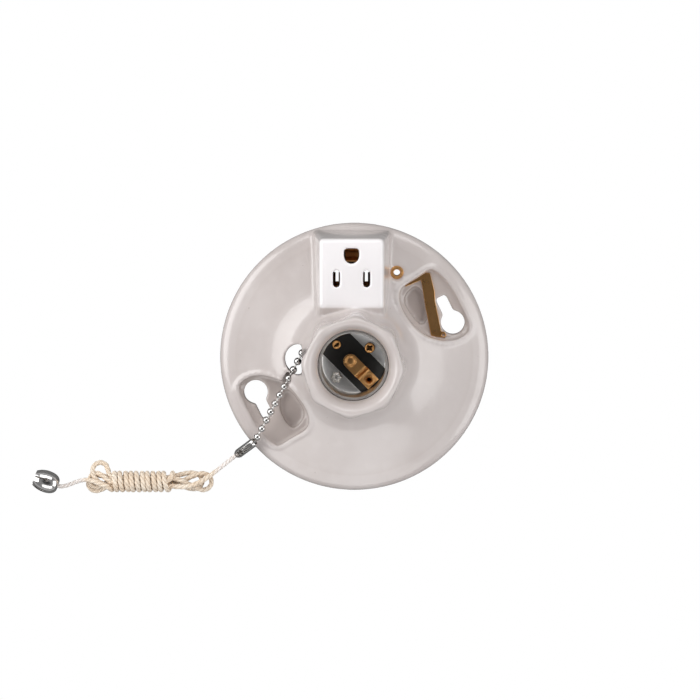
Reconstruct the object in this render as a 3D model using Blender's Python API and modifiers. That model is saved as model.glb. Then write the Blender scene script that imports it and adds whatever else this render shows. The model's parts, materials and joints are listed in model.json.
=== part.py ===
"""Porcelain ceiling lampholder with a pull-chain switch and a grounded outlet.

Lengths below are millimetres and become metres where a mesh is made.
Origin: centre of the back face. +Z out of the lamp socket, +Y towards the outlet.
"""
import math

import bmesh
import bpy
from mathutils import Matrix, Vector

MM = 0.001
ROD_TURN = 0.07

# plate and neck
PLATE_R = 57.15
BODY_H = 50.8
LOBES = 8
LOBE_PHASE = math.radians(-4.0)
BODY_STEPS = 56
BORE_R = 15.0
LEDGE_R = 12.6
LEDGE_Z = 17.0
LEDGE_UNDER = 15.4
FLOOR_Z = 5.0
RECESS_Z = 2.2
WELL_WALL = 2.8

# mounting keyholes, on the 88.9 mm screw circle of a round ceiling box
SCREW_CIRCLE_R = 44.45
KEY_BIG = math.radians(19.6)
KEY_END = math.radians(32.2)
KEY_BIG_R = 5.1
KEY_SLOT_R = 2.9
KEY_CORNER_R = 1.5

# outlet
OUTLET_X = -0.9
SLOT_GAP = 6.35
SLOT_Y = 35.0
GROUND_Y = 44.5
OUTLET_FACE = 26.0
CONTACT_T = 0.5
TAB_Z = (4.5, 5.0)
LINK_Z = (5.2, 5.7)

# terminals, eyelet
LINE_AT = (27.0, 0.0)
NEUTRAL_AT = (-13.0, 22.5)
EYELET_AT = (18.1, 36.4)
STRAP_EAR = (37.9, 9.6)

# socket floor
SOCKET_FLOOR = 21.0
LEAF_EYELET = (6.5, -8.0)
LEAF_DIMPLE = (-1.3, 0.1)
SHELL_SCREW_AT = (6.7, 5.6)
SHELL_RIVET_AT = (-7.3, -6.9)
HOUSING_SCREW_AT = (-7.2, 6.85)

# switch
HOUSING_R = 17.3
HOUSING_IN = 15.0
DECK_Z = 13.6
PILLAR_R = 13.0
PILLAR_ANGLES = (math.radians(60.0), math.radians(240.0))
STAR_TIP = 8.2
STAR_ROOT = 5.6
TEETH = 12
LEVER_Z = (11.6, 12.8)
SHAFT_R = 1.6
SHAFT_HOLE_R = 1.68
PAWL_AT = 10.2

# chain: a straight line tangent to the lever's tip circle
CHAIN_R = 20.57
CHAIN_ANGLE = math.radians(242.1)
CHAIN_FALL = 0.10
CHAIN_Z = 14.6
BEAD_R = 1.6
WIRE_R = 0.45
BEAD_PITCH = 4.1
FIRST_BEAD = -4.4
ANCHOR_BEAD = -9.0
BEADS = 14
LEVER_T = -6.7

# coupling and cord
COUPLING_START = Vector((-42.3, -35.7, 9.0))
COUPLING_DIR = Vector((-0.785, -0.62, -0.42)).normalized()
COUPLING_LEN = 10.9
COUPLING_R = 1.95
CORD_R = 0.9
HANK_X = (-110.6, -61.0)
HANK_Y = (-57.6, -48.8)
HANK_H = 8.9
HANK_ROUND = 2.6
BELL_MOUTH = Vector((-136.4, -51.6, 5.0))
BELL_DIR = Vector((-0.94, 0.34, 0.0)).normalized()
BELL_LEN = 10.6
BELL_R = 4.7
BELL_SLITS = 5
BELL_SLIT_TURN = math.radians(16.0)

WINDOW = [
    (31.6, 37.3), (34.6, 36.7), (38.3, 33.4), (41.9, 28.6), (44.9, 23.0), (47.6, 17.3),
    (48.9, 13.2), (47.4, 10.2), (43.6, 8.1), (39.0, 7.5), (34.2, 8.4), (29.8, 10.3),
    (25.6, 13.8), (21.7, 18.9), (19.6, 23.6), (19.2, 27.4), (20.8, 30.5), (26.8, 34.3),
]
RECESS = [
    (31.2, 17.0), (31.6, 22.0), (29.3, 27.5), (26.2, 30.2), (23.0, 28.3), (21.2, 24.6),
    (22.6, 20.6), (26.2, 15.6), (29.2, 13.8),
]

SCENE = bpy.context.scene


def clear_scene():
    for obj in list(bpy.data.objects):
        bpy.data.objects.remove(obj, do_unlink=True)


def collection(name, hidden=False):
    made = bpy.data.collections.new(name)
    SCENE.collection.children.link(made)
    made.hide_render = hidden
    return made


def material(name, colour, roughness, metallic=0.0, coat=0.0):
    made = bpy.data.materials.new(name)
    made.use_nodes = True
    shader = made.node_tree.nodes["Principled BSDF"]
    shader.inputs["Base Color"].default_value = (*colour, 1.0)
    shader.inputs["Roughness"].default_value = roughness
    shader.inputs["Metallic"].default_value = metallic
    shader.inputs["Coat Weight"].default_value = coat
    made.diffuse_color = (*colour, 1.0)
    return made


clear_scene()
PARTS = collection("pull_chain_lampholder")
CUTTERS = collection("cutters", hidden=True)

PORCELAIN = ("porcelain", (0.80, 0.76, 0.73), 0.12, 0.0, 0.6)
BRASS = ("brass", (0.62, 0.42, 0.16), 0.28, 1.0, 0.0)
NICKEL = ("nickel", (0.72, 0.70, 0.68), 0.16, 1.0, 0.0)
STEEL = ("steel", (0.55, 0.55, 0.56), 0.30, 1.0, 0.0)
PHENOLIC = ("black_phenolic", (0.015, 0.014, 0.013), 0.30, 0.0, 0.2)
FIBRE = ("grey_fibre", (0.20, 0.18, 0.16), 0.75, 0.0, 0.0)
COTTON = ("cotton", (0.80, 0.68, 0.50), 0.9, 0.0, 0.0)


def finish(obj, finish_spec):
    """Give a part its own material and put it with the parts."""
    name, colour, roughness, metallic, coat = finish_spec
    obj.data.materials.clear()
    obj.data.materials.append(material(f"{obj.name}_{name}", colour, roughness, metallic, coat))
    for user in list(obj.users_collection):
        user.objects.unlink(obj)
    PARTS.objects.link(obj)
    return obj


def as_cutter(obj):
    for user in list(obj.users_collection):
        user.objects.unlink(obj)
    CUTTERS.objects.link(obj)
    obj.hide_render = True
    obj.display_type = "WIRE"
    return obj


def boolean(target, tool, operation):
    as_cutter(tool)
    step = target.modifiers.new(tool.name, "BOOLEAN")
    step.operation = operation
    step.solver = "EXACT"
    step.object = tool
    return target


def cut(target, *tools):
    for tool in tools:
        boolean(target, tool, "DIFFERENCE")
    return target


def join(target, *tools):
    for tool in tools:
        boolean(target, tool, "UNION")
    return target


def new_object(name, bm, smooth=True):
    bmesh.ops.recalc_face_normals(bm, faces=bm.faces)
    mesh = bpy.data.meshes.new(name)
    bm.to_mesh(mesh)
    bm.free()
    mesh.shade_flat()
    if smooth:
        mesh.set_sharp_from_angle(angle=math.radians(35.0))
        mesh.polygons.foreach_set("use_smooth", [True] * len(mesh.polygons))
    obj = bpy.data.objects.new(name, mesh)
    SCENE.collection.objects.link(obj)
    return obj


def turned(name, profile, steps=32):
    """Turn a closed (r, z) loop round Z: rings where r > 0, one point on the axis."""
    bm = bmesh.new()
    rings = []
    for point in profile:
        radius, height = point[0], point[1]
        swell = point[2] if len(point) > 2 else 0.0
        if radius == 0.0:
            rings.append([bm.verts.new((0.0, 0.0, height * MM))])
            continue
        ring = []
        for k in range(steps):
            turn = 2.0 * math.pi * k / steps
            r = (radius + swell * math.cos(LOBES * (turn - LOBE_PHASE))) * MM
            ring.append(bm.verts.new((r * math.cos(turn), r * math.sin(turn), height * MM)))
        rings.append(ring)
    for low, high in zip(rings, rings[1:] + rings[:1]):
        for k in range(steps):
            n = (k + 1) % steps
            if len(low) == 1 and len(high) == 1:
                break
            if len(low) == 1:
                bm.faces.new((low[0], high[n], high[k]))
            elif len(high) == 1:
                bm.faces.new((low[k], low[n], high[0]))
            else:
                bm.faces.new((low[k], low[n], high[n], high[k]))
    return new_object(name, bm)


def rod(name, radius, z0, z1, at=(0.0, 0.0), steps=16):
    obj = turned(name, [(0.0, z0), (radius, z0), (radius, z1), (0.0, z1)], steps)
    obj.location = (at[0] * MM, at[1] * MM, 0.0)
    obj.rotation_euler.z = ROD_TURN
    return obj


def box(name, x, y, z):
    bm = bmesh.new()
    bmesh.ops.create_cube(bm, size=1.0)
    for vert in bm.verts:
        vert.co = Vector((
            x[0] if vert.co.x < 0 else x[1],
            y[0] if vert.co.y < 0 else y[1],
            z[0] if vert.co.z < 0 else z[1],
        )) * MM
    return new_object(name, bm, smooth=False)


def circle(at, radius, steps=20):
    return [
        (at[0] + radius * math.cos(2 * math.pi * k / steps),
         at[1] + radius * math.sin(2 * math.pi * k / steps))
        for k in range(steps)
    ]


def rounded(corners, radius, steps=4):
    """Polygon with every corner rounded to the same radius."""
    out = []
    count = len(corners)
    for k in range(count):
        here = Vector(corners[k])
        before = (Vector(corners[k - 1]) - here).normalized()
        after = (Vector(corners[(k + 1) % count]) - here).normalized()
        half = before.angle(after) / 2.0
        back = radius / math.tan(half)
        centre = here + (before + after).normalized() * radius / math.sin(half)
        start = here + before * back - centre
        end = here + after * back - centre
        for n in range(steps + 1):
            out.append(tuple(centre + start.slerp(end, n / steps)))
    return out


def smooth_loop(points, per_span=3):
    """Closed Catmull-Rom loop through the points."""
    out = []
    count = len(points)
    for k in range(count):
        p0, p1, p2, p3 = (Vector(points[(k + n) % count]) for n in (-1, 0, 1, 2))
        for n in range(per_span):
            t = n / per_span
            out.append(tuple(0.5 * (
                2 * p1 + (p2 - p0) * t + (2 * p0 - 5 * p1 + 4 * p2 - p3) * t ** 2
                + (3 * p1 - p0 - 3 * p2 + p3) * t ** 3)))
    return out


def grown(loop, distance):
    """The loop moved outwards along its own normals (it runs clockwise or not)."""
    out = []
    count = len(loop)
    area = sum(loop[k - 1][0] * loop[k][1] - loop[k][0] * loop[k - 1][1] for k in range(count))
    side = 1.0 if area > 0 else -1.0
    for k in range(count):
        along = (Vector(loop[(k + 1) % count]) - Vector(loop[k - 1])).normalized()
        out.append((loop[k][0] + side * along.y * distance, loop[k][1] - side * along.x * distance))
    return out


def half_turn(loop):
    return [(-x, -y) for x, y in loop]


def plate(name, loops, z0, z1):
    """Flat piece from an outline and its holes: a filled 2D curve with depth, made a mesh."""
    curve = bpy.data.curves.new(name, "CURVE")
    curve.dimensions = "2D"
    curve.fill_mode = "BOTH"
    curve.extrude = (z1 - z0) / 2.0 * MM
    for loop in loops:
        spline = curve.splines.new("POLY")
        spline.points.add(len(loop) - 1)
        spline.use_cyclic_u = True
        for point, (x, y) in zip(spline.points, loop):
            point.co = (x * MM, y * MM, 0.0, 1.0)
    drawn = bpy.data.objects.new(name, curve)
    SCENE.collection.objects.link(drawn)
    bpy.context.view_layer.update()
    flat = bpy.data.meshes.new_from_object(drawn.evaluated_get(bpy.context.evaluated_depsgraph_get()))
    bpy.data.objects.remove(drawn, do_unlink=True)
    bm = bmesh.new()
    bm.from_mesh(flat)
    bpy.data.meshes.remove(flat)
    bmesh.ops.remove_doubles(bm, verts=bm.verts, dist=1e-7)
    bmesh.ops.translate(bm, verts=bm.verts, vec=(0.0, 0.0, (z0 + z1) / 2.0 * MM))
    return new_object(name, bm, smooth=False)


def strip(name, line, thickness, width):
    """Bent sheet metal: a centre line (a, z), given thickness, with its width along local Y."""
    points = [Vector(p) for p in line]
    left, right = [], []
    for k, here in enumerate(points):
        before = (here - points[k - 1]).normalized() if k else None
        after = (points[k + 1] - here).normalized() if k < len(points) - 1 else None
        along = ((before or after) + (after or before)).normalized()
        normal = Vector((-along.y, along.x))
        reach = thickness / 2.0 / max(0.3, along.dot(after or before))
        left.append(here + normal * reach)
        right.append(here - normal * reach)
    outline = left + right[::-1]
    bm = bmesh.new()
    near = [bm.verts.new((p.x * MM, width[0] * MM, p.y * MM)) for p in outline]
    far = [bm.verts.new((p.x * MM, width[1] * MM, p.y * MM)) for p in outline]
    count = len(outline)
    half = len(points)
    for row in (near, far):
        for k in range(half - 1):
            bm.faces.new((row[k], row[k + 1], row[count - 2 - k], row[count - 1 - k]))
    for k in range(count):
        n = (k + 1) % count
        bm.faces.new((near[k], near[n], far[n], far[k]))
    return new_object(name, bm, smooth=False)


def screw(name, at, head_z, head_r, shank_z, shank_r, recess, spec):
    """Pan head screw; the head sits away from the shank. The recess is cut in the head's face."""
    rises = head_z[1] > shank_z[1]
    face, seat = (head_z[1], head_z[0]) if rises else (head_z[0], head_z[1])
    tip = shank_z[0] if rises else shank_z[1]
    edge = seat + (face - seat) * 0.55
    made = turned(name, [
        (0.0, face), (head_r * 0.75, face), (head_r, edge), (head_r, seat),
        (shank_r, seat), (shank_r, tip), (0.0, tip)], 16)
    depth = (face - seat) * 0.45
    for turn in (0.0, 90.0)[:2 if recess == "cross" else 1]:
        bar = box(f"{name}_drive_{int(turn)}", (-head_r * 0.72, head_r * 0.72), (-0.3, 0.3),
                  sorted((face - depth, face + depth)))
        bar.rotation_euler.z = math.radians(turn + 30.0)
        bar.location = (at[0] * MM, at[1] * MM, 0.0)
        cut(made, bar)
    made.location = (at[0] * MM, at[1] * MM, 0.0)
    return finish(made, spec)


def chain_point(t, lift=0.0):
    """Point on the chain's line, t mm from where it is nearest the lever's axis."""
    along = Vector((math.cos(CHAIN_ANGLE), math.sin(CHAIN_ANGLE)))
    foot = Vector((along.y, -along.x)) * CHAIN_R
    flat = foot + along * t
    return Vector((flat.x, flat.y, CHAIN_Z - CHAIN_FALL * t + lift))


def chain_direction():
    return (chain_point(1.0) - chain_point(0.0)).normalized()


def along_axis(obj, start, direction):
    """Stand an object made round +Z on a start point, pointing in a direction."""
    obj.matrix_world = Matrix.Translation(start * MM) @ direction.to_track_quat("Z", "X").to_matrix().to_4x4()
    return obj


def sector(name, r0, r1, a0, a1, z0, z1, steps=12):
    turns = [math.radians(a0 + (a1 - a0) * k / steps) for k in range(steps + 1)]
    outer = [(r1 * math.cos(a), r1 * math.sin(a)) for a in turns]
    inner = [(r0 * math.cos(a), r0 * math.sin(a)) for a in reversed(turns)]
    return plate(name, [outer + inner], z0, z1)


def capsule(start, end, radius, steps=10):
    a, b = Vector(start), Vector(end)
    lean = math.atan2(b.y - a.y, b.x - a.x)
    out = []
    for centre, first in ((b, lean - math.pi / 2), (a, lean + math.pi / 2)):
        for k in range(steps + 1):
            turn = first + math.pi * k / steps
            out.append((centre.x + radius * math.cos(turn), centre.y + radius * math.sin(turn)))
    return out


def keyhole_cutters(name, turned_over):
    """Big hole for the screw head, and a slot along the screw circle."""
    sign = -1.0 if turned_over else 1.0
    big = Vector((math.cos(KEY_BIG), math.sin(KEY_BIG))) * sign * SCREW_CIRCLE_R
    end = Vector((math.cos(KEY_END), math.sin(KEY_END))) * sign * SCREW_CIRCLE_R
    hole = rod(f"{name}_hole", KEY_BIG_R, -2.0, FLOOR_Z + 2.0, big, 28)
    along = (end - big).normalized()
    across = Vector((-along.y, along.x)) * KEY_SLOT_R
    far = end + along * KEY_SLOT_R
    slot = plate(f"{name}_slot", [rounded([big - across, far - across, far + across, big + across],
                                          KEY_CORNER_R)], -1.5, FLOOR_Z + 1.5)
    return hole, slot


def porcelain_cavity():
    """Hollow of the back, leaving the window wells and the two terminal bosses standing."""
    hollow = turned("back_hollow", [
        (0.0, LEDGE_UNDER), (17.8, LEDGE_UNDER), (17.8, 14.6), (22.0, 12.2), (26.0, 10.2),
        (30.0, 8.5), (35.0, 6.9), (41.0, 5.2), (46.0, 3.6), (49.5, 2.0), (50.5, -2.0),
        (0.0, -2.0)], 48)
    window = smooth_loop(WINDOW, 2)
    for name, loop in (("well_a", window), ("well_b", half_turn(window))):
        cut(hollow, plate(name, [grown(loop, WELL_WALL)], -3.0, 19.0))
    for name, at in (("line_boss", LINE_AT), ("neutral_boss", NEUTRAL_AT)):
        cut(hollow, rod(name, 3.9, LINK_Z[1] + 0.2, 19.0, at))
        join(hollow, rod(f"{name}_screw_hole", 1.6, 3.0, 10.6, at))
    return hollow


def outlet_block():
    """Drafted block that carries the outlet, its long faces leaning in towards the top."""
    side = [(54.3, 3.2), (51.7, OUTLET_FACE), (22.8, OUTLET_FACE), (16.5, 19.6), (16.5, 6.0)]
    bm = bmesh.new()
    rows = []
    for sign in (-1.0, 1.0):
        row = []
        for y, z in side:
            half = 13.5 + (OUTLET_FACE - z) * 0.15
            row.append(bm.verts.new(((OUTLET_X + sign * half) * MM, y * MM, z * MM)))
        rows.append(row)
    bm.faces.new(rows[0])
    bm.faces.new(rows[1])
    for k in range(len(side)):
        n = (k + 1) % len(side)
        bm.faces.new((rows[0][k], rows[0][n], rows[1][n], rows[1][k]))
    block = new_object("outlet_block", bm)
    bevel = block.modifiers.new("soft_edges", "BEVEL")
    bevel.width = 1.9 * MM
    bevel.segments = 3
    bevel.limit_method = "ANGLE"
    bevel.angle_limit = math.radians(25.0)
    return block


def outlet_cutters():
    tools = []
    for side, sign in (("left", -1.0), ("right", 1.0)):
        x = OUTLET_X + sign * SLOT_GAP
        slot = rounded([(x - 1.7, SLOT_Y - 4.0), (x + 1.7, SLOT_Y - 4.0),
                        (x + 1.7, SLOT_Y + 4.0), (x - 1.7, SLOT_Y + 4.0)], 1.3)
        tools.append(plate(f"slot_{side}", [slot], 21.0, 28.0))
        tools.append(box(f"blade_pocket_{side}", (x - 2.9, x + 2.9), (30.0, 39.4), (-2.0, 22.3)))
    arch = [(OUTLET_X + 3.2 * math.cos(math.pi + math.pi * k / 10),
             GROUND_Y + 3.2 * math.sin(math.pi + math.pi * k / 10)) for k in range(11)]
    arch += [(OUTLET_X + 3.2, GROUND_Y + 2.6), (OUTLET_X + 2.6, GROUND_Y + 3.2),
             (OUTLET_X - 2.6, GROUND_Y + 3.2), (OUTLET_X - 3.2, GROUND_Y + 2.6)]
    tools.append(plate("ground_slot", [arch], 21.0, 28.5))
    tools.append(box("ground_pocket", (OUTLET_X - 4.2, OUTLET_X + 4.2), (40.9, 49.2), (-2.0, 22.3)))
    tools.append(box("retainer_recess", (OUTLET_X - 13.3, OUTLET_X + 13.3), (26.2, 50.6), (-2.0, 5.3)))
    tools.append(rod("retainer_screw_hole", 1.45, 3.0, 12.6, (OUTLET_X, 28.3)))
    return tools


def porcelain_body():
    body = turned("porcelain_body", [
        (17.9, 50.45), (18.6, BODY_H, 0.1), (19.5, 50.7, 0.45), (20.2, 50.1, 0.8), (20.55, 49.0, 1.0),
        (20.6, 46.0, 1.05), (20.6, 40.0, 1.0), (20.8, 34.0, 0.85), (21.3, 28.5, 0.6),
        (22.3, 23.5, 0.3), (24.0, 19.4, 0.1), (26.4, 16.3), (29.2, 14.1), (33.0, 12.2),
        (38.0, 10.4), (44.0, 8.6), (50.0, 7.0), (54.0, 5.9), (56.0, 4.8), (57.0, 3.2),
        (PLATE_R, 1.6), (56.7, 0.5), (56.0, 0.0), (LEDGE_R, 0.0), (LEDGE_R, LEDGE_Z),
        (BORE_R, LEDGE_Z), (BORE_R, 42.4), (15.3, 44.6), (16.0, 47.2), (17.0, 49.5)], BODY_STEPS)
    join(body, outlet_block())
    cut(body, porcelain_cavity())
    window = smooth_loop(WINDOW, 2)
    recess = smooth_loop(RECESS, 2)
    for name, over in (("a", False), ("b", True)):
        turn = half_turn if over else list
        cut(body, plate(f"window_{name}", [turn(window)], FLOOR_Z, 30.0),
            plate(f"recess_{name}", [turn(recess)], RECESS_Z, 12.0),
            *keyhole_cutters(f"keyhole_{name}", over))
    cut(body, *outlet_cutters())
    # chain: round hole beside the neck, its bored passage, and the lever's pocket
    hole = [(-22.6 + 6.65 * math.cos(math.radians(a)), 0.1 + 6.65 * math.sin(math.radians(a)))
            for a in range(84, 277, 12)]
    cut(body, plate("chain_hole", [hole], -2.0, 34.0))
    passage = turned("chain_passage", [(0.0, 0.0), (2.15, 0.0), (2.15, 37.6), (0.0, 37.6)], 20)
    cut(body, along_axis(passage, chain_point(-11.2), chain_direction()))
    cut(body, sector("lever_pocket", 14.2, 23.6, 118.0, 190.0, 9.0, 17.4))
    # earth eyelet, its counterbore, the channel behind it and the strap's way into the window
    cut(body, rod("eyelet_hole", 1.95, -2.0, 14.0, EYELET_AT),
        rod("eyelet_seat", 3.2, 8.55, 16.0, EYELET_AT),
        plate("earth_channel", [capsule((9.5, 42.0), EYELET_AT, 4.3)], -2.0, 5.8),
        plate("strap_way", [[(13.6, 32.8), (27.4, 32.6), (31.0, 36.6), (21.5, 39.8), (13.6, 39.8)]],
              4.95, 6.0))
    cut(body, box("neutral_way", (3.4, 8.2), (8.0, 19.7), (11.6, 16.95)))
    return finish(body, PORCELAIN)


def screw_shell():
    """Edison medium shell, 7 threads to the inch, with two riveted-down base flanges."""
    pitch = 25.4 / 7.0
    base = 21.15
    outer, inner = [], []
    for k in range(11):
        z = base + 1.2 + k * pitch / 2.0
        swell = 0.32 * math.cos(math.pi * k)
        outer.append((13.95 + swell, z))
        inner.append((13.6 + swell, z))
    top = outer[-1][1]
    profile = [(0.0, base + 0.4), (13.2, base + 0.4)] + inner
    profile += [(13.75, top + 1.2), (14.1, top + 1.5), (14.45, top + 1.2)] + outer[::-1]
    profile += [(13.6, base), (0.0, base)]
    shell = turned("screw_shell", profile, 32)
    opening = box("shell_base_opening", (-16.0, 16.0), (-6.65, 6.65), (base - 1.0, base + 0.75))
    opening.rotation_euler.z = math.radians(-45.0)
    cut(shell, opening, rod("shell_screw_pass", 1.4, 20.0, 23.0, SHELL_SCREW_AT),
        rod("shell_rivet_pass", 1.3, 20.0, 23.0, SHELL_RIVET_AT))
    return finish(shell, NICKEL)


def socket_insulator():
    disc = turned("socket_insulator", [
        (0.0, SOCKET_FLOOR), (14.3, SOCKET_FLOOR), (14.75, SOCKET_FLOOR - 0.45),
        (14.75, LEDGE_Z + 0.15), (0.0, LEDGE_Z + 0.15)], 40)
    for k, (at, radius) in enumerate((
            (LEAF_EYELET, 1.45), (SHELL_SCREW_AT, 1.4), (SHELL_RIVET_AT, 1.3),
            (HOUSING_SCREW_AT, 1.3))):
        cut(disc, rod(f"floor_hole_{k}", radius, 16.0, 22.0, at))
    return finish(disc, PHENOLIC)


def centre_contact():
    """Springy leaf rising from its eyelet to the dimple under the lamp's tip."""
    run = Vector(LEAF_DIMPLE) - Vector(LEAF_EYELET)
    leaf = strip("centre_contact_leaf", [
        (-2.6, 21.4), (3.0, 21.4), (5.4, 23.3), (run.length + 1.2, 24.2)], 0.45, (-3.1, 3.1))
    dimple = turned("leaf_dimple", [
        (0.0, 25.0), (0.9, 24.85), (1.6, 24.4), (3.1, 24.05), (3.1, 23.85), (0.0, 23.85)], 24)
    dimple.location = (run.length * MM, 0.0, 0.0)
    pass_hole = rod("leaf_eyelet_pass", 1.45, 20.0, 23.0)
    lean = math.atan2(run.y, run.x)
    seat = Vector((*LEAF_EYELET, 0.0))
    hinge = Vector((3.0, 0.0, 21.4))
    frame = Matrix.Translation(seat * MM) @ Matrix.Rotation(lean, 4, "Z")
    leaf.data.transform(Matrix.Translation(-hinge * MM))
    leaf.matrix_world = frame @ Matrix.Translation(hinge * MM)
    for tool in (dimple, pass_hole):
        tool.matrix_world = frame @ Matrix.Translation(tool.location)
    join(leaf, dimple)
    cut(leaf, pass_hole)
    finish(leaf, BRASS)
    eyelet = turned("centre_contact_eyelet", [
        (1.5, 22.15), (2.1, 22.1), (2.2, 21.8), (1.2, 21.75), (1.2, 12.8), (0.8, 12.8),
        (0.8, 21.2)], 18)
    eyelet.location = (LEAF_EYELET[0] * MM, LEAF_EYELET[1] * MM, 0.0)
    finish(eyelet, BRASS)


def floor_fasteners():
    screw("shell_screw", SHELL_SCREW_AT, (21.75, 22.9), 2.2, (14.3, 21.75), 1.15, "cross", BRASS)
    screw("housing_screw", HOUSING_SCREW_AT, (21.2, 22.2), 1.95, (14.2, 21.2), 1.1, "slot", BRASS)
    rivet = turned("shell_rivet", [
        (0.0, 22.75), (1.3, 22.6), (2.1, 22.2), (2.4, 21.75), (1.1, 21.75), (1.1, 17.4),
        (0.0, 17.4)], 24)
    rivet.location = (SHELL_RIVET_AT[0] * MM, SHELL_RIVET_AT[1] * MM, 0.0)
    finish(rivet, NICKEL)


def switch_housing():
    housing = turned("switch_housing", [
        (0.0, 16.9), (12.3, 16.9), (12.3, 15.2), (HOUSING_R, 15.2), (HOUSING_R, 3.4),
        (HOUSING_IN, 3.4), (HOUSING_IN, DECK_Z), (0.0, DECK_Z)], 40)
    for k, turn in enumerate(PILLAR_ANGLES):
        at = (PILLAR_R * math.cos(turn), PILLAR_R * math.sin(turn))
        join(housing, rod(f"pillar_{k}", 2.5, 3.6, 14.0, at))
        cut(housing, rod(f"pillar_hole_{k}", 1.15, 2.0, 10.0, at))
    cut(housing, sector("lever_window", 14.0, 19.0, 120.0, 184.0, 11.1, 13.3),
        rod("shaft_socket", SHAFT_HOLE_R, 12.0, 14.7, steps=20),
        rod("eyelet_pass", 1.45, 12.0, 18.0, LEAF_EYELET),
        rod("shell_screw_way", 1.4, 12.0, 18.0, SHELL_SCREW_AT),
        rod("housing_screw_way", 1.3, 12.0, 18.0, HOUSING_SCREW_AT),
        box("line_contact_way", (13.0, 19.0), (-2.5, 2.5), (4.8, 6.1)),
        box("link_groove", (3.4, 8.2), (3.0, 18.0), (15.5, 18.0)))
    return finish(housing, PHENOLIC)


def back_plate():
    holes = [circle((PILLAR_R * math.cos(a), PILLAR_R * math.sin(a)), 1.3, 16) for a in PILLAR_ANGLES]
    disc = plate("back_plate", [circle((0.0, 0.0), HOUSING_R, 48), circle((0.0, 0.0), SHAFT_HOLE_R), *holes],
                 2.0, 3.2)
    finish(disc, FIBRE)
    for name, turn in zip(("back_plate_screw_a", "back_plate_screw_b"), PILLAR_ANGLES):
        at = (PILLAR_R * math.cos(turn), PILLAR_R * math.sin(turn))
        screw(name, at, (0.6, 1.8), 2.2, (1.8, 9.4), 1.0, "slot", STEEL)


def rotor():
    """Shaft, twelve-tooth ratchet and six-lobed contact star that turn together."""
    shaft = turned("rotor_shaft", [
        (0.0, 14.5), (1.3, 14.5), (SHAFT_R, 14.2), (SHAFT_R, 2.5), (1.3, 2.2), (0.0, 2.2)], 20)
    finish(shaft, STEEL)
    teeth = []
    for k in range(TEETH):
        turn = 2 * math.pi * k / TEETH
        step = 2 * math.pi / TEETH
        teeth.append((7.8 * math.cos(turn), 7.8 * math.sin(turn)))
        teeth.append((7.2 * math.cos(turn + step * 0.5), 7.2 * math.sin(turn + step * 0.5)))
        teeth.append((6.6 * math.cos(turn + step * 0.96), 6.6 * math.sin(turn + step * 0.96)))
    finish(plate("ratchet_rotor", [teeth, circle((0.0, 0.0), 1.7)], 5.5, 8.4), PHENOLIC)
    star = []
    for k in range(72):
        turn = 2 * math.pi * k / 72
        swing = 0.5 + 0.5 * math.cos(6 * turn)
        reach = STAR_ROOT + (STAR_TIP - STAR_ROOT) * min(1.0, 1.3 * swing)
        star.append((reach * math.cos(turn), reach * math.sin(turn)))
    finish(plate("contact_star", [star, circle((0.0, 0.0), 1.7)], 4.3, 5.2), BRASS)


def lever_rest_angle():
    here = chain_point(LEVER_T)
    return math.atan2(here.y, here.x)


def pull_lever():
    hub = [(4.2 * math.cos(math.radians(a)), 4.2 * math.sin(math.radians(a))) for a in range(36, 325, 18)]
    outline = hub + [(8.2, -2.3), (12.6, -2.3), (19.0, -1.7), (23.2, -0.9), (23.2, 0.9), (19.0, 1.7),
                     (12.6, 2.3), (8.2, 2.3)]
    lever = plate("pull_lever", [outline, circle((0.0, 0.0), SHAFT_HOLE_R),
                                 circle((PAWL_AT, 0.0), 0.93, 16)], *LEVER_Z)
    tab = box("lever_tab", (18.7, 23.2), (-0.4, 0.4), (12.0, 16.9))
    notch = box("lever_notch", (19.95, 22.2), (-2.0, 2.0), (13.1, 18.0))
    for obj in (lever, tab, notch):
        obj.rotation_euler.z = lever_rest_angle()
    join(lever, tab)
    cut(lever, notch)
    finish(lever, STEEL)
    arm = plate("pawl", [[
        (1.5, -0.4), (1.2, 1.1), (0.1, 1.7), (-1.3, 3.1), (-2.15, 3.5), (-2.25, 3.0), (-1.5, 1.2),
        (-1.4, -0.3), (-0.8, -1.2), (0.6, -1.3)]], 7.4, 8.3)
    pin = rod("pawl_pin", 0.85, 7.6, 13.1, steps=16)
    frame = Matrix.Rotation(lever_rest_angle(), 4, "Z") @ Matrix.Translation((PAWL_AT * MM, 0.0, 0.0))
    for obj in (arm, pin):
        obj.matrix_world = frame
    join(arm, pin)
    finish(arm, STEEL)


def tube(name, points, radius, spec, resolution=2):
    """Round wire or cord: a poly line with a round bevel and filled caps."""
    curve = bpy.data.curves.new(name, "CURVE")
    curve.dimensions = "3D"
    curve.bevel_depth = radius * MM
    curve.bevel_resolution = resolution
    curve.use_fill_caps = True
    spline = curve.splines.new("POLY")
    spline.points.add(len(points) - 1)
    for point, place in zip(spline.points, points):
        point.co = (place[0] * MM, place[1] * MM, place[2] * MM, 1.0)
    obj = bpy.data.objects.new(name, curve)
    SCENE.collection.objects.link(obj)
    return finish(obj, spec)


def lever_spring():
    turns, count, radius = 2.5, 40, 5.6
    points = [(13.6, -2.0, 9.0), (9.5, -1.0, 9.0)]
    for k in range(count + 1):
        a = 2 * math.pi * turns * k / count
        points.append((radius * math.cos(a), radius * math.sin(a), 9.0 + 1.9 * k / count))
    points.append((-8.0, 1.3, 11.0))
    return tube("lever_spring", points, 0.35, STEEL)


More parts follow.
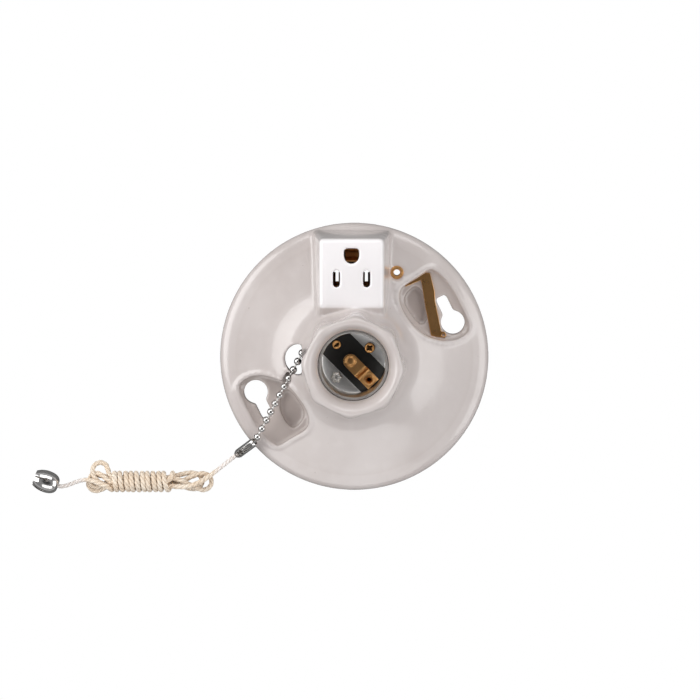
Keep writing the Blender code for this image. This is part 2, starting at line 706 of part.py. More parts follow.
def fixed_contacts():
    """Spring leaves beside the star: one from the line terminal, one to the lamp's centre contact."""
    line = strip("line_contact", [(8.85, 4.1), (8.85, 5.45), (24.0, 5.45)], 0.5, (-2.0, 2.0))
    ring = plate("line_contact_ring", [circle(LINE_AT, 3.8)], *LINK_Z)
    join(line, ring)
    cut(line, rod("line_contact_hole", 1.6, 4.0, 7.0, LINE_AT))
    finish(line, BRASS)
    load = strip("load_contact", [(8.75, 4.1), (8.75, 13.0), (12.6, 13.0)], 0.4, (-2.0, 2.0))
    turn = math.atan2(LEAF_EYELET[1], LEAF_EYELET[0])
    load.rotation_euler.z = turn
    hole = rod("load_contact_hole", 1.3, 12.0, 14.0, LEAF_EYELET)
    cut(load, hole)
    finish(load, BRASS)


def blade_contact(name, x, arm, end):
    """Two leaves that grip the blade, joined across one end, with an arm to its terminal."""
    outward = 1.0 if x > OUTLET_X else -1.0
    outer = strip(name, [(1.95, 4.75), (1.95, 9.0), (0.7, 15.5), (1.75, 20.0)], CONTACT_T, (31.3, 37.0))
    inner = strip(f"{name}_inner", [(-1.95, 4.75), (-1.95, 9.0), (-1.05, 15.5), (-1.6, 20.0)],
                  CONTACT_T, (31.3, 37.0))
    web = box(f"{name}_web", (-2.2, 2.2), (30.8, 31.4), (4.5, 12.0))
    for obj in (outer, inner, web):
        obj.location.x = x * MM
        if outward < 0:
            obj.data.transform(Matrix.Diagonal((-1.0, 1.0, 1.0, 1.0)))
            obj.data.flip_normals()
    flat = plate(f"{name}_arm", [arm], *TAB_Z)
    ring = plate(f"{name}_ring", [circle(end, 3.8)], *TAB_Z)
    join(outer, inner, web, flat, ring)
    cut(outer, rod(f"{name}_hole", 1.6, 3.0, 6.0, end))
    return finish(outer, BRASS)


def receptacle_contacts():
    hot, neutral = OUTLET_X + SLOT_GAP, OUTLET_X - SLOT_GAP
    blade_contact("hot_contact", hot, [
        (hot - 2.0, 32.4), (hot + 2.0, 32.4), (hot + 2.2, 29.0), (10.6, 26.6), (15.4, 19.6),
        (20.4, 12.6), (25.6, 3.4), (25.4, 0.6), (22.2, 1.6), (16.6, 10.6), (11.6, 17.6),
        (6.8, 24.8), (hot - 2.0, 28.6)], LINE_AT)
    blade_contact("neutral_contact", neutral, [
        (neutral + 2.0, 32.4), (neutral - 2.0, 32.4), (neutral - 2.2, 29.0), (-15.2, 24.4),
        (-11.0, 21.4), (neutral + 2.0, 28.0)], NEUTRAL_AT)
    ground = strip("ground_contact", [
        (42.1, 19.6), (43.4, 15.6), (42.3, 9.0), (42.3, 4.75), (47.5, 4.75), (47.5, 9.0),
        (45.7, 15.6), (47.0, 19.6)], CONTACT_T, (-2.8, 2.8))
    ground.rotation_euler.z = math.radians(90.0)
    ground.location.x = OUTLET_X * MM
    arm = plate("ground_arm", [[
        (-1.0, 42.6), (-1.0, 46.8), (6.0, 46.8), (13.0, 42.4), (20.0, 38.6), (16.6, 33.6),
        (10.6, 38.8), (4.0, 42.6)]], *TAB_Z)
    ring = plate("ground_ring", [circle(EYELET_AT, 3.5)], *TAB_Z)
    join(ground, arm, ring)
    cut(ground, rod("ground_arm_hole", 1.95, 3.0, 6.0, EYELET_AT))
    finish(ground, BRASS)


def earth_strap():
    outline = [
        (14.6, 33.6), (28.0, 33.2), (30.2, 21.6), (32.7, 9.3), (36.6, 8.6), (38.6, 8.4), (39.2, 9.6),
        (38.6, 10.9), (37.0, 11.2), (34.4, 24.0), (34.1, 28.5), (32.2, 36.0), (30.4, 36.2),
        (21.4, 39.2), (14.6, 39.2)]
    strap = plate("ground_strap", [outline, circle(EYELET_AT, 1.95, 20), circle(STRAP_EAR, 0.65, 12)],
                  *LINK_Z)
    finish(strap, BRASS)
    eyelet = turned("ground_eyelet", [
        (1.75, 9.55), (2.4, 9.45), (2.9, 8.9), (2.9, 8.65), (1.7, 8.6), (1.7, 4.35), (2.7, 4.3),
        (2.7, 3.95), (1.4, 3.9), (1.4, 9.2)], 20)
    eyelet.location = (EYELET_AT[0] * MM, EYELET_AT[1] * MM, 0.0)
    finish(eyelet, BRASS)


def retainer():
    """Fibre plate that holds the outlet's contacts in from the back."""
    holes = []
    for sign in (-1.0, 1.0):
        x = OUTLET_X + sign * SLOT_GAP
        holes.append([(x - 1.6, 31.8), (x + 1.6, 31.8), (x + 1.6, 39.2), (x - 1.6, 39.2)])
    holes.append(circle((OUTLET_X, 28.3), 1.6, 16))
    outline = rounded([(OUTLET_X - 12.9, 26.6), (OUTLET_X + 12.9, 26.6), (OUTLET_X + 12.9, 50.2),
                       (OUTLET_X - 12.9, 50.2)], 1.5)
    finish(plate("receptacle_retainer", [outline, *holes], 2.7, 4.3), FIBRE)
    screw("retainer_screw", (OUTLET_X, 28.3), (1.2, 2.5), 2.6, (2.5, 12.0), 1.25, "slot", STEEL)


def terminals():
    screw("line_terminal_screw", LINE_AT, (2.4, 4.2), 3.2, (4.2, 10.0), 1.4, "slot", BRASS)
    screw("neutral_terminal_screw", NEUTRAL_AT, (2.4, 4.2), 3.2, (4.2, 9.6), 1.4, "slot", NICKEL)
    link = strip("neutral_link", [(3.6, 16.0), (18.95, 16.0), (18.95, 5.45), (22.2, 5.45)], 0.5,
                 (-7.8, -3.8))
    link.rotation_euler.z = math.radians(90.0)
    foot = plate("neutral_link_foot", [[(-13.0, 18.9), (7.8, 18.9), (7.8, 22.2), (-13.0, 22.2)]], *LINK_Z)
    ring = plate("neutral_link_ring", [circle(NEUTRAL_AT, 3.8)], *LINK_Z)
    join(link, foot, ring)
    cut(link, rod("neutral_link_hole", 1.6, 4.0, 7.0, NEUTRAL_AT),
        rod("neutral_link_screw", 1.4, 15.0, 17.0, SHELL_SCREW_AT))
    finish(link, BRASS)


def bead_chain():
    """Beads on their wire, turned in one piece and laid along the chain's line."""
    stretch = math.sqrt(1.0 + CHAIN_FALL ** 2)
    centres = [ANCHOR_BEAD] + [FIRST_BEAD + BEAD_PITCH * k for k in range(BEADS)]
    base = centres[0] - BEAD_R / stretch
    profile = [(0.0, 0.0)]
    waist = math.asin(WIRE_R / BEAD_R)
    for n, t in enumerate(centres):
        middle = (t - base) * stretch
        first = 0.0 if n == 0 else waist
        for k in range(7):
            a = first + (math.pi - waist - first) * k / 6
            if n == 0 and k == 0:
                continue
            profile.append((BEAD_R * math.sin(a), middle - BEAD_R * math.cos(a)))
    tail = (centres[-1] - base) * stretch + BEAD_R + 0.5
    profile += [(WIRE_R, tail), (0.0, tail)]
    chain = turned("bead_chain", profile, 10)
    return finish(along_axis(chain, chain_point(base), chain_direction()), NICKEL)


def chain_coupling():
    wall = 0.35
    inner = COUPLING_R - wall
    sleeve = turned("chain_coupling", [
        (inner - 0.3, 0.0), (COUPLING_R - 0.3, 0.0), (COUPLING_R, 0.5), (COUPLING_R, COUPLING_LEN - 0.7),
        (1.3, COUPLING_LEN), (1.05, COUPLING_LEN), (1.05, COUPLING_LEN - 0.4),
        (inner, COUPLING_LEN - 1.0), (inner, 0.5)], 24)
    slot = box("coupling_slot", (1.0, 3.0), (-0.5, 0.5), (1.6, COUPLING_LEN - 1.8))
    for obj in (sleeve, slot):
        along_axis(obj, COUPLING_START, COUPLING_DIR)
    cut(sleeve, slot)
    return finish(sleeve, NICKEL)


def smooth_line(points, per_span=3):
    """Open Catmull-Rom line through the points."""
    ends = [2 * points[0] - points[1], *points, 2 * points[-1] - points[-2]]
    out = []
    for k in range(1, len(ends) - 2):
        p0, p1, p2, p3 = ends[k - 1:k + 3]
        for n in range(per_span):
            t = n / per_span
            out.append(0.5 * (2 * p1 + (p2 - p0) * t + (2 * p0 - 5 * p1 + 4 * p2 - p3) * t ** 2
                              + (3 * p1 - p0 - 3 * p2 + p3) * t ** 3))
    out.append(points[-1])
    return out


def cord():
    exit_point = COUPLING_START + COUPLING_DIR * (COUPLING_LEN + 0.3)
    lead = [exit_point, exit_point + COUPLING_DIR * 2.6, Vector((-56.0, -47.2, 2.0)),
            Vector((HANK_X[1] + 0.35, -51.6, 1.5))]
    tube("cord_lead", smooth_line(lead), CORD_R, COTTON)
    middle = sum(HANK_Y) / 2.0
    half = (HANK_Y[1] - HANK_Y[0]) / 2.0
    outline = capsule((HANK_X[0] + half, middle), (HANK_X[1] - half, middle), half)
    hank = plate("cord_hank", [outline], 0.1, HANK_H)
    bevel = hank.modifiers.new("soft_edges", "BEVEL")
    bevel.width = HANK_ROUND * MM
    bevel.segments = 3
    bevel.limit_method = "ANGLE"
    bevel.angle_limit = math.radians(50.0)
    finish(hank, COTTON)
    neck = BELL_MOUTH - BELL_DIR * (BELL_LEN + 0.3)
    tail = [Vector((HANK_X[0] - 0.35, -52.6, 1.8)), Vector((-114.5, -53.2, 1.5)),
            Vector((-119.8, -54.6, 2.6)), neck]
    tube("cord_tail", smooth_line(tail), CORD_R, COTTON)


def cord_bell():
    """Thin pressed bell with its skirt slit into petals, lying on its side."""
    wall = 0.45
    outer = [(1.6, BELL_LEN), (2.6, BELL_LEN - 0.4), (3.7, BELL_LEN - 1.6), (4.4, BELL_LEN - 3.4),
             (BELL_R, BELL_LEN - 6.0), (4.5, 2.0), (BELL_R, 0.0)]
    inner = [(max(1.15, r - wall), z - (wall if z > BELL_LEN - 2.0 else 0.0)) for r, z in outer[:-1]]
    profile = outer + [(BELL_R - wall, 0.0)] + inner[::-1]
    bell = turned("cord_bell", [(r, BELL_LEN - z) for r, z in profile], 24)
    start = BELL_MOUTH - BELL_DIR * BELL_LEN
    tools = []
    for k in range(BELL_SLITS):
        tools.append(box(f"bell_slit_{k}", (1.5, 7.0), (-0.8, 0.8), (BELL_LEN - 5.2, BELL_LEN + 2.0)))
    for obj in (bell, *tools):
        along_axis(obj, start, BELL_DIR)
    for k, obj in enumerate(tools):
        turn = BELL_SLIT_TURN + 2.0 * math.pi * k / BELL_SLITS
        obj.matrix_world = obj.matrix_world @ Matrix.Rotation(turn, 4, "Z")
    cut(bell, *tools)
    return finish(bell, NICKEL)


porcelain_body()
screw_shell()
socket_insulator()
centre_contact()
floor_fasteners()
switch_housing()
back_plate()
rotor()
pull_lever()
lever_spring()
fixed_contacts()
receptacle_contacts()
earth_strap()
retainer()
terminals()
bead_chain()
chain_coupling()
cord()
cord_bell()
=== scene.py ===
"""Looks of a porcelain ceiling lampholder with a pull-chain switch and a grounded outlet.

Lengths in the constants below are millimetres and become metres where a mesh is made.
Origin: centre of the back face. +Z out of the lamp socket, +Y towards the outlet.
"""
import json
import math

import bpy
from mathutils import Matrix, Vector


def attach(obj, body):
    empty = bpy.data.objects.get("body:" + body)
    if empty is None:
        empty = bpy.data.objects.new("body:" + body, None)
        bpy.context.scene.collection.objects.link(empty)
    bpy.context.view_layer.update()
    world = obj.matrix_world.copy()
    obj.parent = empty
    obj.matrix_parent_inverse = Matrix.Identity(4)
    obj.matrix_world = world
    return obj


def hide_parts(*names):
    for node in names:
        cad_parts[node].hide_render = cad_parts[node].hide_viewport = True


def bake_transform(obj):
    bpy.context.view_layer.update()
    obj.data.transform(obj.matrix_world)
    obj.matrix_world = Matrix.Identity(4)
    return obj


bl_info = {
    "name": "Pull-Chain Porcelain Lampholder",
    "version": (1, 0, 0),
    "blender": (4, 5, 0),
    "location": "View3D > Sidebar > Lampholder",
    "description": "Finishes a porcelain lampholder with its cord, chain and fittings",
    "category": "Object",
}

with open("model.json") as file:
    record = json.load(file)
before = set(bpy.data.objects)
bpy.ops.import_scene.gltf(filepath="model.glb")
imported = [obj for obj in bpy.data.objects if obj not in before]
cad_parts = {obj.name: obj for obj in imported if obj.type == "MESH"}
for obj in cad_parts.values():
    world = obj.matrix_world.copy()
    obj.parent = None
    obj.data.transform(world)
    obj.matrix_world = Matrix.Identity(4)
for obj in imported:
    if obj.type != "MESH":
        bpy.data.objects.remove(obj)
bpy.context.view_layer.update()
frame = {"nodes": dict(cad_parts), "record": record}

MM = 0.001
FULL_TURN = 2.0 * math.pi

# porcelain body
PLATE_R = 57.15
LOBES = 8
LOBE_PHASE = math.radians(-4.0)
LOBE_FROM_Z = 19.0
BORE_R = 14.75  # the shell's rolled lip stands just inside it
LEDGE_R = 12.6
LEDGE_Z = 17.0
LEDGE_UNDER = 15.4
FLOOR_Z = 5.0
RECESS_Z = 2.2
WELL_WALL = 2.8
SCREW_CIRCLE_R = 44.45
KEY_BIG = math.radians(19.6)
KEY_END = math.radians(32.2)
KEY_BIG_R = 5.1
KEY_SLOT_R = 2.9
RIM_R = 1.15
OUTLET_X = -0.9
SLOT_GAP = 6.35
SLOT_Y = 35.0
GROUND_Y = 44.5
OUTLET_FACE = 26.0
OUTLET_HALF = 13.5
OUTLET_DRAFT = 0.15
SLOT_HALF = 1.75
GROUND_R = 3.2
POCKET_TOP = 22.3
CHAIN_HOLE_AT = (-22.6, 0.1)
CHAIN_HOLE_R = 6.65
LINE_AT = (27.0, 0.0)
NEUTRAL_AT = (-13.0, 22.5)
EYELET_AT = (18.1, 36.4)
LINK_Z = (5.2, 5.7)
STRAP_EAR = (37.9, 9.6)

# outer outline of the body: radius, height, depth of the finger grips
OUTLINE = [
    (17.0, 49.5, 0.0), (17.9, 50.45, 0.0), (18.6, 50.8, 0.1), (19.5, 50.7, 0.45),
    (20.2, 50.1, 0.8), (20.55, 49.0, 1.0), (20.6, 46.0, 1.05), (20.6, 40.0, 1.0),
    (20.8, 34.0, 0.85), (21.3, 28.5, 0.6), (22.3, 23.5, 0.3), (24.0, 19.4, 0.1),
    (26.4, 16.3, 0.0), (29.2, 14.1, 0.0), (33.0, 12.2, 0.0), (38.0, 10.4, 0.0),
    (44.0, 8.6, 0.0), (50.0, 7.0, 0.0), (54.0, 5.9, 0.0), (56.0, 4.8, 0.0),
    (57.0, 3.2, 0.0), (PLATE_R, 1.6, 0.0), (56.7, 0.5, 0.0), (56.0, 0.0, 0.0),
]
BORE_LINE = [
    (LEDGE_R, 0.0), (LEDGE_R, LEDGE_Z), (BORE_R, LEDGE_Z), (BORE_R, 42.4), (15.0, 44.6),
    (15.8, 47.2),
]
HOLLOW = [
    (0.0, LEDGE_UNDER), (17.8, LEDGE_UNDER), (17.8, 14.6), (22.0, 12.2), (26.0, 10.2),
    (30.0, 8.5), (35.0, 6.9), (41.0, 5.2), (46.0, 3.6), (49.5, 2.0), (50.5, -2.0), (0.0, -2.0),
]
WINDOW = [
    (31.6, 37.3), (34.6, 36.7), (38.3, 33.4), (41.9, 28.6), (44.9, 23.0), (47.6, 17.3),
    (48.9, 13.2), (47.4, 10.2), (43.6, 8.1), (39.0, 7.5), (34.2, 8.4), (29.8, 10.3),
    (25.6, 13.8), (21.7, 18.9), (19.6, 23.6), (19.2, 27.4), (20.8, 30.5), (26.8, 34.3),
]
RECESS = [
    (31.2, 17.0), (31.6, 22.0), (29.3, 27.5), (26.2, 30.2), (23.0, 28.3), (21.2, 24.6),
    (22.6, 20.6), (26.2, 15.6), (29.2, 13.8),
]

# socket shell
THREAD_PITCH = 25.4 / 7.0
SHELL_BASE = 21.15
SHELL_R = 13.68
SHELL_WALL = 0.32
THREAD_SWELL = 0.25
THREAD_FROM_Z = 22.6
THREAD_TO_Z = 39.8
SHELL_SCREW_AT = (6.7, 5.6)
SHELL_RIVET_AT = (-7.3, -6.9)
HOUSING_SCREW_AT = (-7.2, 6.85)
SCREWS = (
    # CAD node, name, place, bottom and top of the head, head radius, shank end, shank radius, arms
    ("shell_screw", "cross_head_screw", SHELL_SCREW_AT, (21.75, 22.9), 2.2, 14.3, 1.15, 2),
    ("housing_screw", "slotted_screw", HOUSING_SCREW_AT, (21.2, 22.2), 1.95, 14.2, 1.1, 1),
)
LEAF_EYELET = (6.5, -8.0)
LEAF_DIMPLE = (-1.3, 0.1)
LEAF_HALF = 3.1
LEAF_THICK = 0.42

# chain: a straight line tangent to the lever's tip circle
CHAIN_R = 20.57
CHAIN_ANGLE = math.radians(242.1)
CHAIN_FALL = 0.10
CHAIN_Z = 14.6
BEAD_R = 1.6
WIRE_R = 0.42
BEAD_PITCH = 4.1
FIRST_BEAD = -4.4
ANCHOR_BEAD = -9.0
BEADS = 14

# coupling, bell
COUPLING_START = Vector((-42.3, -35.7, 9.0))
COUPLING_DIR = Vector((-0.785, -0.62, -0.42)).normalized()
COUPLING_LEN = 10.9
COUPLING_R = 1.95
BELL_MOUTH = Vector((-136.4, -51.6, 5.0))
BELL_DIR = Vector((-0.94, 0.34, 0.0)).normalized()
BELL_LEN = 10.6
BELL_R = 4.7
BELL_SLITS = 5
BELL_SLIT_TURN = math.radians(16.0)
PETAL_BENDS = (1.0, 0.98, 1.55, 1.02, 1.0)

# cord
CORD_D = 1.8
CORD_STEP = 0.35
CORD_SIDES = 15
PLIES = 3
PLY_PITCH = 7.2
YARN_PITCH = 1.1
HANK_MID = Vector((0.0, -53.4, 4.6))
STRAND_R = 1.8
WRAP_R = 3.6
WRAP_FROM_X = -80.7
WRAP_TO_X = -103.6
WRAPS = 9.75

# looks: rolling lines of sheet metal, across X or across Y
ROLLED_X = (14.0, 1.0, 1.0)
ROLLED_Y = (1.0, 14.0, 1.0)

# stage, in metres but for the camera's aim
VIEW_AIM = Vector((-1.84, 2.65, 0.0))
VIEW_FROM = Vector((0.0123, 0.0928, 1.0))
VIEW_DISTANCE = 1.7
SKY_GREYS = ((0.0, 0.75), (0.45, 0.30), (0.90, 0.36), (0.965, 0.09), (1.0, 0.06))
SOFTBOXES = (
    # name, place, width and depth, share of the key light
    ("left_softbox", (-1.0, 0.30, 0.62), (1.3, 0.8), 0.84),
    ("right_softbox", (0.95, -0.15, 0.62), (1.2, 0.8), 0.50),
    ("back_softbox", (0.05, 1.05, 0.75), (1.3, 0.6), 0.46),
    ("front_softbox", (-0.1, -1.0, 0.9), (1.3, 0.7), 0.36),
)


# ---------------------------------------------------------------- materials

class Wire:
    """A shader socket that can be used in arithmetic; each operation adds its Math node."""

    def __init__(self, kit, socket):
        self.kit = kit
        self.socket = socket

    def maths(self, operation, *values):
        return self.kit.node("ShaderNodeMath", {"operation": operation}, dict(enumerate(values)))

    def __add__(self, other):
        return self.maths("ADD", self, other)

    __radd__ = __add__

    def __mul__(self, other):
        return self.maths("MULTIPLY", self, other)

    def __sub__(self, other):
        return self.maths("SUBTRACT", self, other)

    def __rsub__(self, other):
        return self.maths("SUBTRACT", other, self)

    def __truediv__(self, other):
        return self.maths("DIVIDE", self, other)

    def __pow__(self, other):
        return self.maths("POWER", self, other)

    def sine(self):
        return self.maths("SINE", self)

    def above(self, edge, width):
        """0 below edge, 1 above edge + width, with a soft step between."""
        ramp = {"interpolation_type": "SMOOTHSTEP"}
        return self.kit.node("ShaderNodeMapRange", ramp, {"Value": self, "From Min": edge,
                                                          "From Max": edge + width})


class Finish:
    """One material's nodes, wired to its Principled shader."""

    def __init__(self, name, **fixed):
        self.material = bpy.data.materials.new(name)
        self.material.use_nodes = True
        self.tree = self.material.node_tree
        self.shader = self.tree.nodes["Principled BSDF"]
        for socket, value in fixed.items():
            self.shader.inputs[socket.replace("_", " ")].default_value = value

    def node(self, kind, settings, values, output=0):
        made = self.tree.nodes.new(kind)
        for key, value in settings.items():
            setattr(made, key, value)
        for socket, value in values.items():
            self.feed(made.inputs[socket], value)
        return Wire(self, made.outputs[output])

    def feed(self, socket, value):
        if isinstance(value, Wire):
            self.tree.links.new(value.socket, socket)
        elif socket.type == "RGBA" and len(value) == 3:
            socket.default_value = (*value, 1.0)
        else:
            socket.default_value = value

    def drive(self, **wires):
        for socket, value in wires.items():
            self.feed(self.shader.inputs[socket.replace("_", " ")], value)
        return self.material

    def place(self, scale=(1.0, 1.0, 1.0), source="Object"):
        coords = self.tree.nodes.new("ShaderNodeTexCoord")
        return self.node("ShaderNodeMapping", {}, {
            "Vector": Wire(self, coords.outputs[source]), "Scale": scale})

    def axis(self, where, letter):
        parts = self.tree.nodes.new("ShaderNodeSeparateXYZ")
        self.tree.links.new(where.socket, parts.inputs[0])
        return Wire(self, parts.outputs[letter])

    def noise(self, where, scale, detail=3.0, rough=0.5):
        return self.node("ShaderNodeTexNoise", {}, {
            "Vector": where, "Scale": scale, "Detail": detail, "Roughness": rough})

    def mix(self, share, first, second):
        return self.node("ShaderNodeMix", {"data_type": "RGBA"}, {0: share, 6: first, 7: second}, 2)

    def bump(self, height, strength, depth):
        return self.node("ShaderNodeBump", {}, {
            "Height": height, "Strength": strength, "Distance": depth})


def glazed_porcelain(name, settings):
    """Warm white clay under a thick clear glaze, bare on the foot ring, with painted shade on the
    low well floors and a painted highlight on the outlet face and the outlet side.
    """
    kit = Finish(name, IOR=1.52, Coat_Weight=0.55, Coat_Roughness=0.08, Specular_IOR_Level=0.5)
    where = kit.place()
    cloud = kit.noise(where, 34.0, 3.0)
    pool = kit.noise(where, 120.0, 4.0)
    speck = kit.noise(where, 620.0, 1.0).above(0.80, 0.03)
    east, north, height = (kit.axis(where, letter) for letter in "XYZ")
    foot = 1.0 - height.above(0.00035, 0.0006)
    beyond = north.above(0.0222, 0.0012)
    # painted highlight: face marks the outlet face, which is whitened below to stand in for the
    # light it reflects
    face = height.above(0.0238, 0.0020) * beyond
    # painted highlight: flank pales the outlet block's sides and the plate beside them, grading
    # from 22 mm down to 9 mm high
    flank = height.above(0.0090, 0.0130) * beyond
    warm = kit.mix(cloud.above(0.35, 0.3), settings.glaze_shade, settings.glaze_colour)
    mottled = kit.mix(pool.above(0.45, 0.35) * 0.35, warm, (0.70, 0.65, 0.63))
    flank_highlight = kit.mix(flank * 0.45, mottled, (0.80, 0.765, 0.76))
    # thick holds the painted highlight: a near-white standing in for light reflected off the outlet
    # face, not thicker glaze
    thick = kit.mix(face, flank_highlight, (0.95, 0.92, 0.925))
    # painted shade: surfaces below about 5 mm and within 50 mm of the axis, the well and recess
    # floors, are darkened as if shaded
    near_axis = 1.0 - ((east * east + north * north) ** 0.5).above(0.0500, 0.0010)
    low_floor_shade = (1.0 - height.above(0.0052, 0.0025)) * near_axis
    shaded = kit.mix(low_floor_shade * 0.55, thick, (0.46, 0.39, 0.355))
    specked = kit.mix(speck * 0.55, shaded, (0.33, 0.27, 0.24))
    colour = kit.mix(foot * 0.7, specked, (0.72, 0.66, 0.58))
    ripple = kit.noise(where, 210.0, 2.0) * 0.7 + kit.noise(where, 60.0, 1.0) * 1.3
    grain = kit.noise(where, 2600.0, 2.0) * foot
    normal = kit.bump(ripple + grain * 0.4, 0.16, 0.0006)
    return kit.drive(Base_Color=colour, Roughness=0.17 + pool * 0.06 + foot * 0.5,
                     Coat_Weight=0.55 - foot * 0.5, Normal=normal)


def stamped_metal(name, colour, dark, rough, grain_way, tarnish=0.5, bump=0.08):
    """Rolled sheet metal: faint rolling lines, cloudy tarnish and small handling marks."""
    kit = Finish(name, Metallic=1.0)
    where = kit.place()
    lines = kit.noise(kit.place(grain_way), 420.0, 3.0, 0.6)
    cloud = kit.noise(where, 230.0, 4.0, 0.6)
    marks = kit.noise(where, 1400.0, 2.0).above(0.66, 0.1)
    shade = kit.mix(cloud.above(0.42, 0.3) * tarnish, colour, dark)
    colour_out = kit.mix(marks * 0.35, shade, dark)
    normal = kit.bump(lines + marks * 0.3, bump, 0.0002)
    return kit.drive(Base_Color=colour_out, Roughness=rough + cloud * 0.14 + marks * 0.12,
                     Normal=normal)


def screw_brass(name, settings, head_top):
    """Clean brass head, with painted shade in its recess and on the head below its crown, down to
    its seat.
    """
    kit = Finish(name, Metallic=1.0)
    where = kit.place()
    cloud = kit.noise(where, 900.0, 3.0)
    # painted shade: everything more than 0.62 mm below the head's top is turned near-black
    recess_shade = 1.0 - kit.axis(where, "Z").above(head_top - 0.00062, 0.0003)
    bright = kit.mix(cloud * 0.5, settings.brass_colour, settings.brass_dark)
    return kit.drive(Base_Color=kit.mix(recess_shade * 0.92, bright, (0.035, 0.022, 0.012)),
                     Roughness=0.16 + recess_shade * 0.5 + cloud * 0.08)


def bright_nickel(name, rough=0.08, clean=0.90):
    """Polished nickel plate with dull patches where it has been handled."""
    kit = Finish(name, Metallic=1.0)
    where = kit.place()
    cloud = kit.noise(where, 300.0, 3.0)
    fine = kit.noise(where, 2400.0, 2.0)
    colour = kit.mix(cloud, (clean, clean * 0.985, clean * 0.965),
                     (clean * 0.84, clean * 0.825, clean * 0.80))
    return kit.drive(Base_Color=colour, Roughness=rough + cloud.above(0.5, 0.3) * 0.10,
                     Normal=kit.bump(fine, 0.008, 0.0001))


def moulded_phenolic(name):
    """Black thermoset with a faint flow swirl and a soft sheen."""
    kit = Finish(name, IOR=1.6, Coat_Weight=0.15, Coat_Roughness=0.2)
    where = kit.place()
    swirl = kit.node("ShaderNodeTexNoise", {}, {
        "Vector": where, "Scale": 130.0, "Detail": 3.0, "Distortion": 1.6})
    dust = kit.noise(where, 1900.0, 2.0).above(0.68, 0.12)
    colour = kit.mix(swirl, (0.004, 0.003, 0.002), (0.012, 0.009, 0.006))
    return kit.drive(Base_Color=kit.mix(dust * 0.12, colour, (0.12, 0.10, 0.09)),
                     Roughness=0.28 + swirl * 0.2, Normal=kit.bump(swirl, 0.10, 0.0003))


def pressed_fibre(name):
    """Grey-brown vulcanised fibre sheet with short matted strands."""
    kit = Finish(name)
    where = kit.place()
    strands = kit.noise(kit.place((1.0, 5.0, 1.0)), 700.0, 4.0, 0.7)
    cloud = kit.noise(where, 140.0, 3.0)
    colour = kit.mix(strands, (0.13, 0.115, 0.10), (0.30, 0.27, 0.235))
    return kit.drive(Base_Color=kit.mix(cloud * 0.5, colour, (0.19, 0.16, 0.13)),
                     Roughness=0.62 + strands * 0.25, Normal=kit.bump(strands, 0.35, 0.0003))


def spun_cotton(name, settings):
    """Soft three-ply cotton: yarn lines along each ply, with painted shade between the plies."""
    kit = Finish(name, Sheen_Weight=0.35, Sheen_Roughness=0.5, Sheen_Tint=(1.0, 0.95, 0.88, 1.0))
    uv = kit.place(source="UV")
    along, round_it = kit.axis(uv, "X"), kit.axis(uv, "Y")
    twist = ((along / PLY_PITCH + round_it) * (PLIES / 2.0 * FULL_TURN)).sine()
    ply = twist.maths("ABSOLUTE", twist)
    yarn = ((along / YARN_PITCH - round_it * 6.0) * FULL_TURN).sine()
    where = kit.place()
    fuzz = kit.noise(where, 3800.0, 3.0, 0.7)
    cloud = kit.noise(where, 160.0, 3.0)
    lit = kit.mix(cloud.above(0.35, 0.35), settings.cord_colour, settings.cord_pale)
    reach = kit.axis(where, "X")
    stretched = reach.above(-0.061, 0.004) + (1.0 - reach.above(-0.1175, 0.004))
    clean = kit.mix(stretched, lit, settings.cord_clean)
    # painted shade between the plies, deepest where the ply relief dips, with a little fuzz mixed
    # in
    deep = kit.mix((1.0 - ply) ** 2.0 * 0.5 + fuzz * 0.12, clean, settings.cord_shade)
    height = ply * 0.9 + yarn * 0.22 + fuzz * 0.7
    return kit.drive(Base_Color=deep, Roughness=0.86 + fuzz * 0.1,
                     Normal=kit.bump(height, 0.55, 0.00022))


# ---------------------------------------------------------------- modelling

def deselect():
    if bpy.context.object and bpy.context.object.mode != "OBJECT":
        bpy.ops.object.mode_set(mode="OBJECT")
    bpy.ops.object.select_all(action="DESELECT")


def take(obj):
    deselect()
    obj.select_set(True)
    bpy.context.view_layer.objects.active = obj
    return obj


def in_edit(obj, *steps):
    """Run edit-mode steps on everything in the mesh."""
    take(obj)
    bpy.ops.object.mode_set(mode="EDIT")
    bpy.ops.mesh.select_all(action="SELECT")
    for step in steps:
        step()
    bpy.ops.object.mode_set(mode="OBJECT")
    return obj


def tidy(obj, merge=0.002):
    """Merge doubled corners, drop flat slivers and turn every face outwards."""
    return in_edit(
        obj,
        lambda: bpy.ops.mesh.remove_doubles(threshold=merge * MM),
        lambda: bpy.ops.mesh.dissolve_degenerate(threshold=merge * 0.1 * MM),
        lambda: bpy.ops.mesh.select_all(action="SELECT"),
        lambda: bpy.ops.mesh.normals_make_consistent(inside=False))


def ring_of_points(name, points, fill="NOTHING"):
    """A circle whose corners are pulled to the given points, in mm."""
    deselect()
    bpy.ops.mesh.primitive_circle_add(vertices=len(points), radius=MM, fill_type=fill)
    obj = bpy.context.object
    obj.name = obj.data.name = name
    for corner, point in zip(obj.data.vertices, points):
        corner.co = Vector(point) * MM
    return obj


def lathe(name, profile, steps):
    """Spin a closed (radius, height) outline once round Z."""
    obj = ring_of_points(name, [(p[0], 0.0, p[1]) for p in profile])
    in_edit(obj, lambda: bpy.ops.mesh.spin(
        steps=steps, angle=FULL_TURN, center=(0.0, 0.0, 0.0), axis=(0.0, 0.0, 1.0)))
    return tidy(obj)


def pulled(obj, way):
    """Pull a filled outline along a direction, in mm."""
    return in_edit(obj, lambda: bpy.ops.mesh.extrude_region_move(
        TRANSFORM_OT_translate={"value": tuple(Vector(way) * MM)}))


def slab(name, loop, z0, z1):
    """An outline filled and pulled up to a thickness."""
    obj = ring_of_points(name, [(x, y, z0) for x, y in loop], "NGON")
    return tidy(pulled(obj, (0.0, 0.0, z1 - z0)), 0.0005)


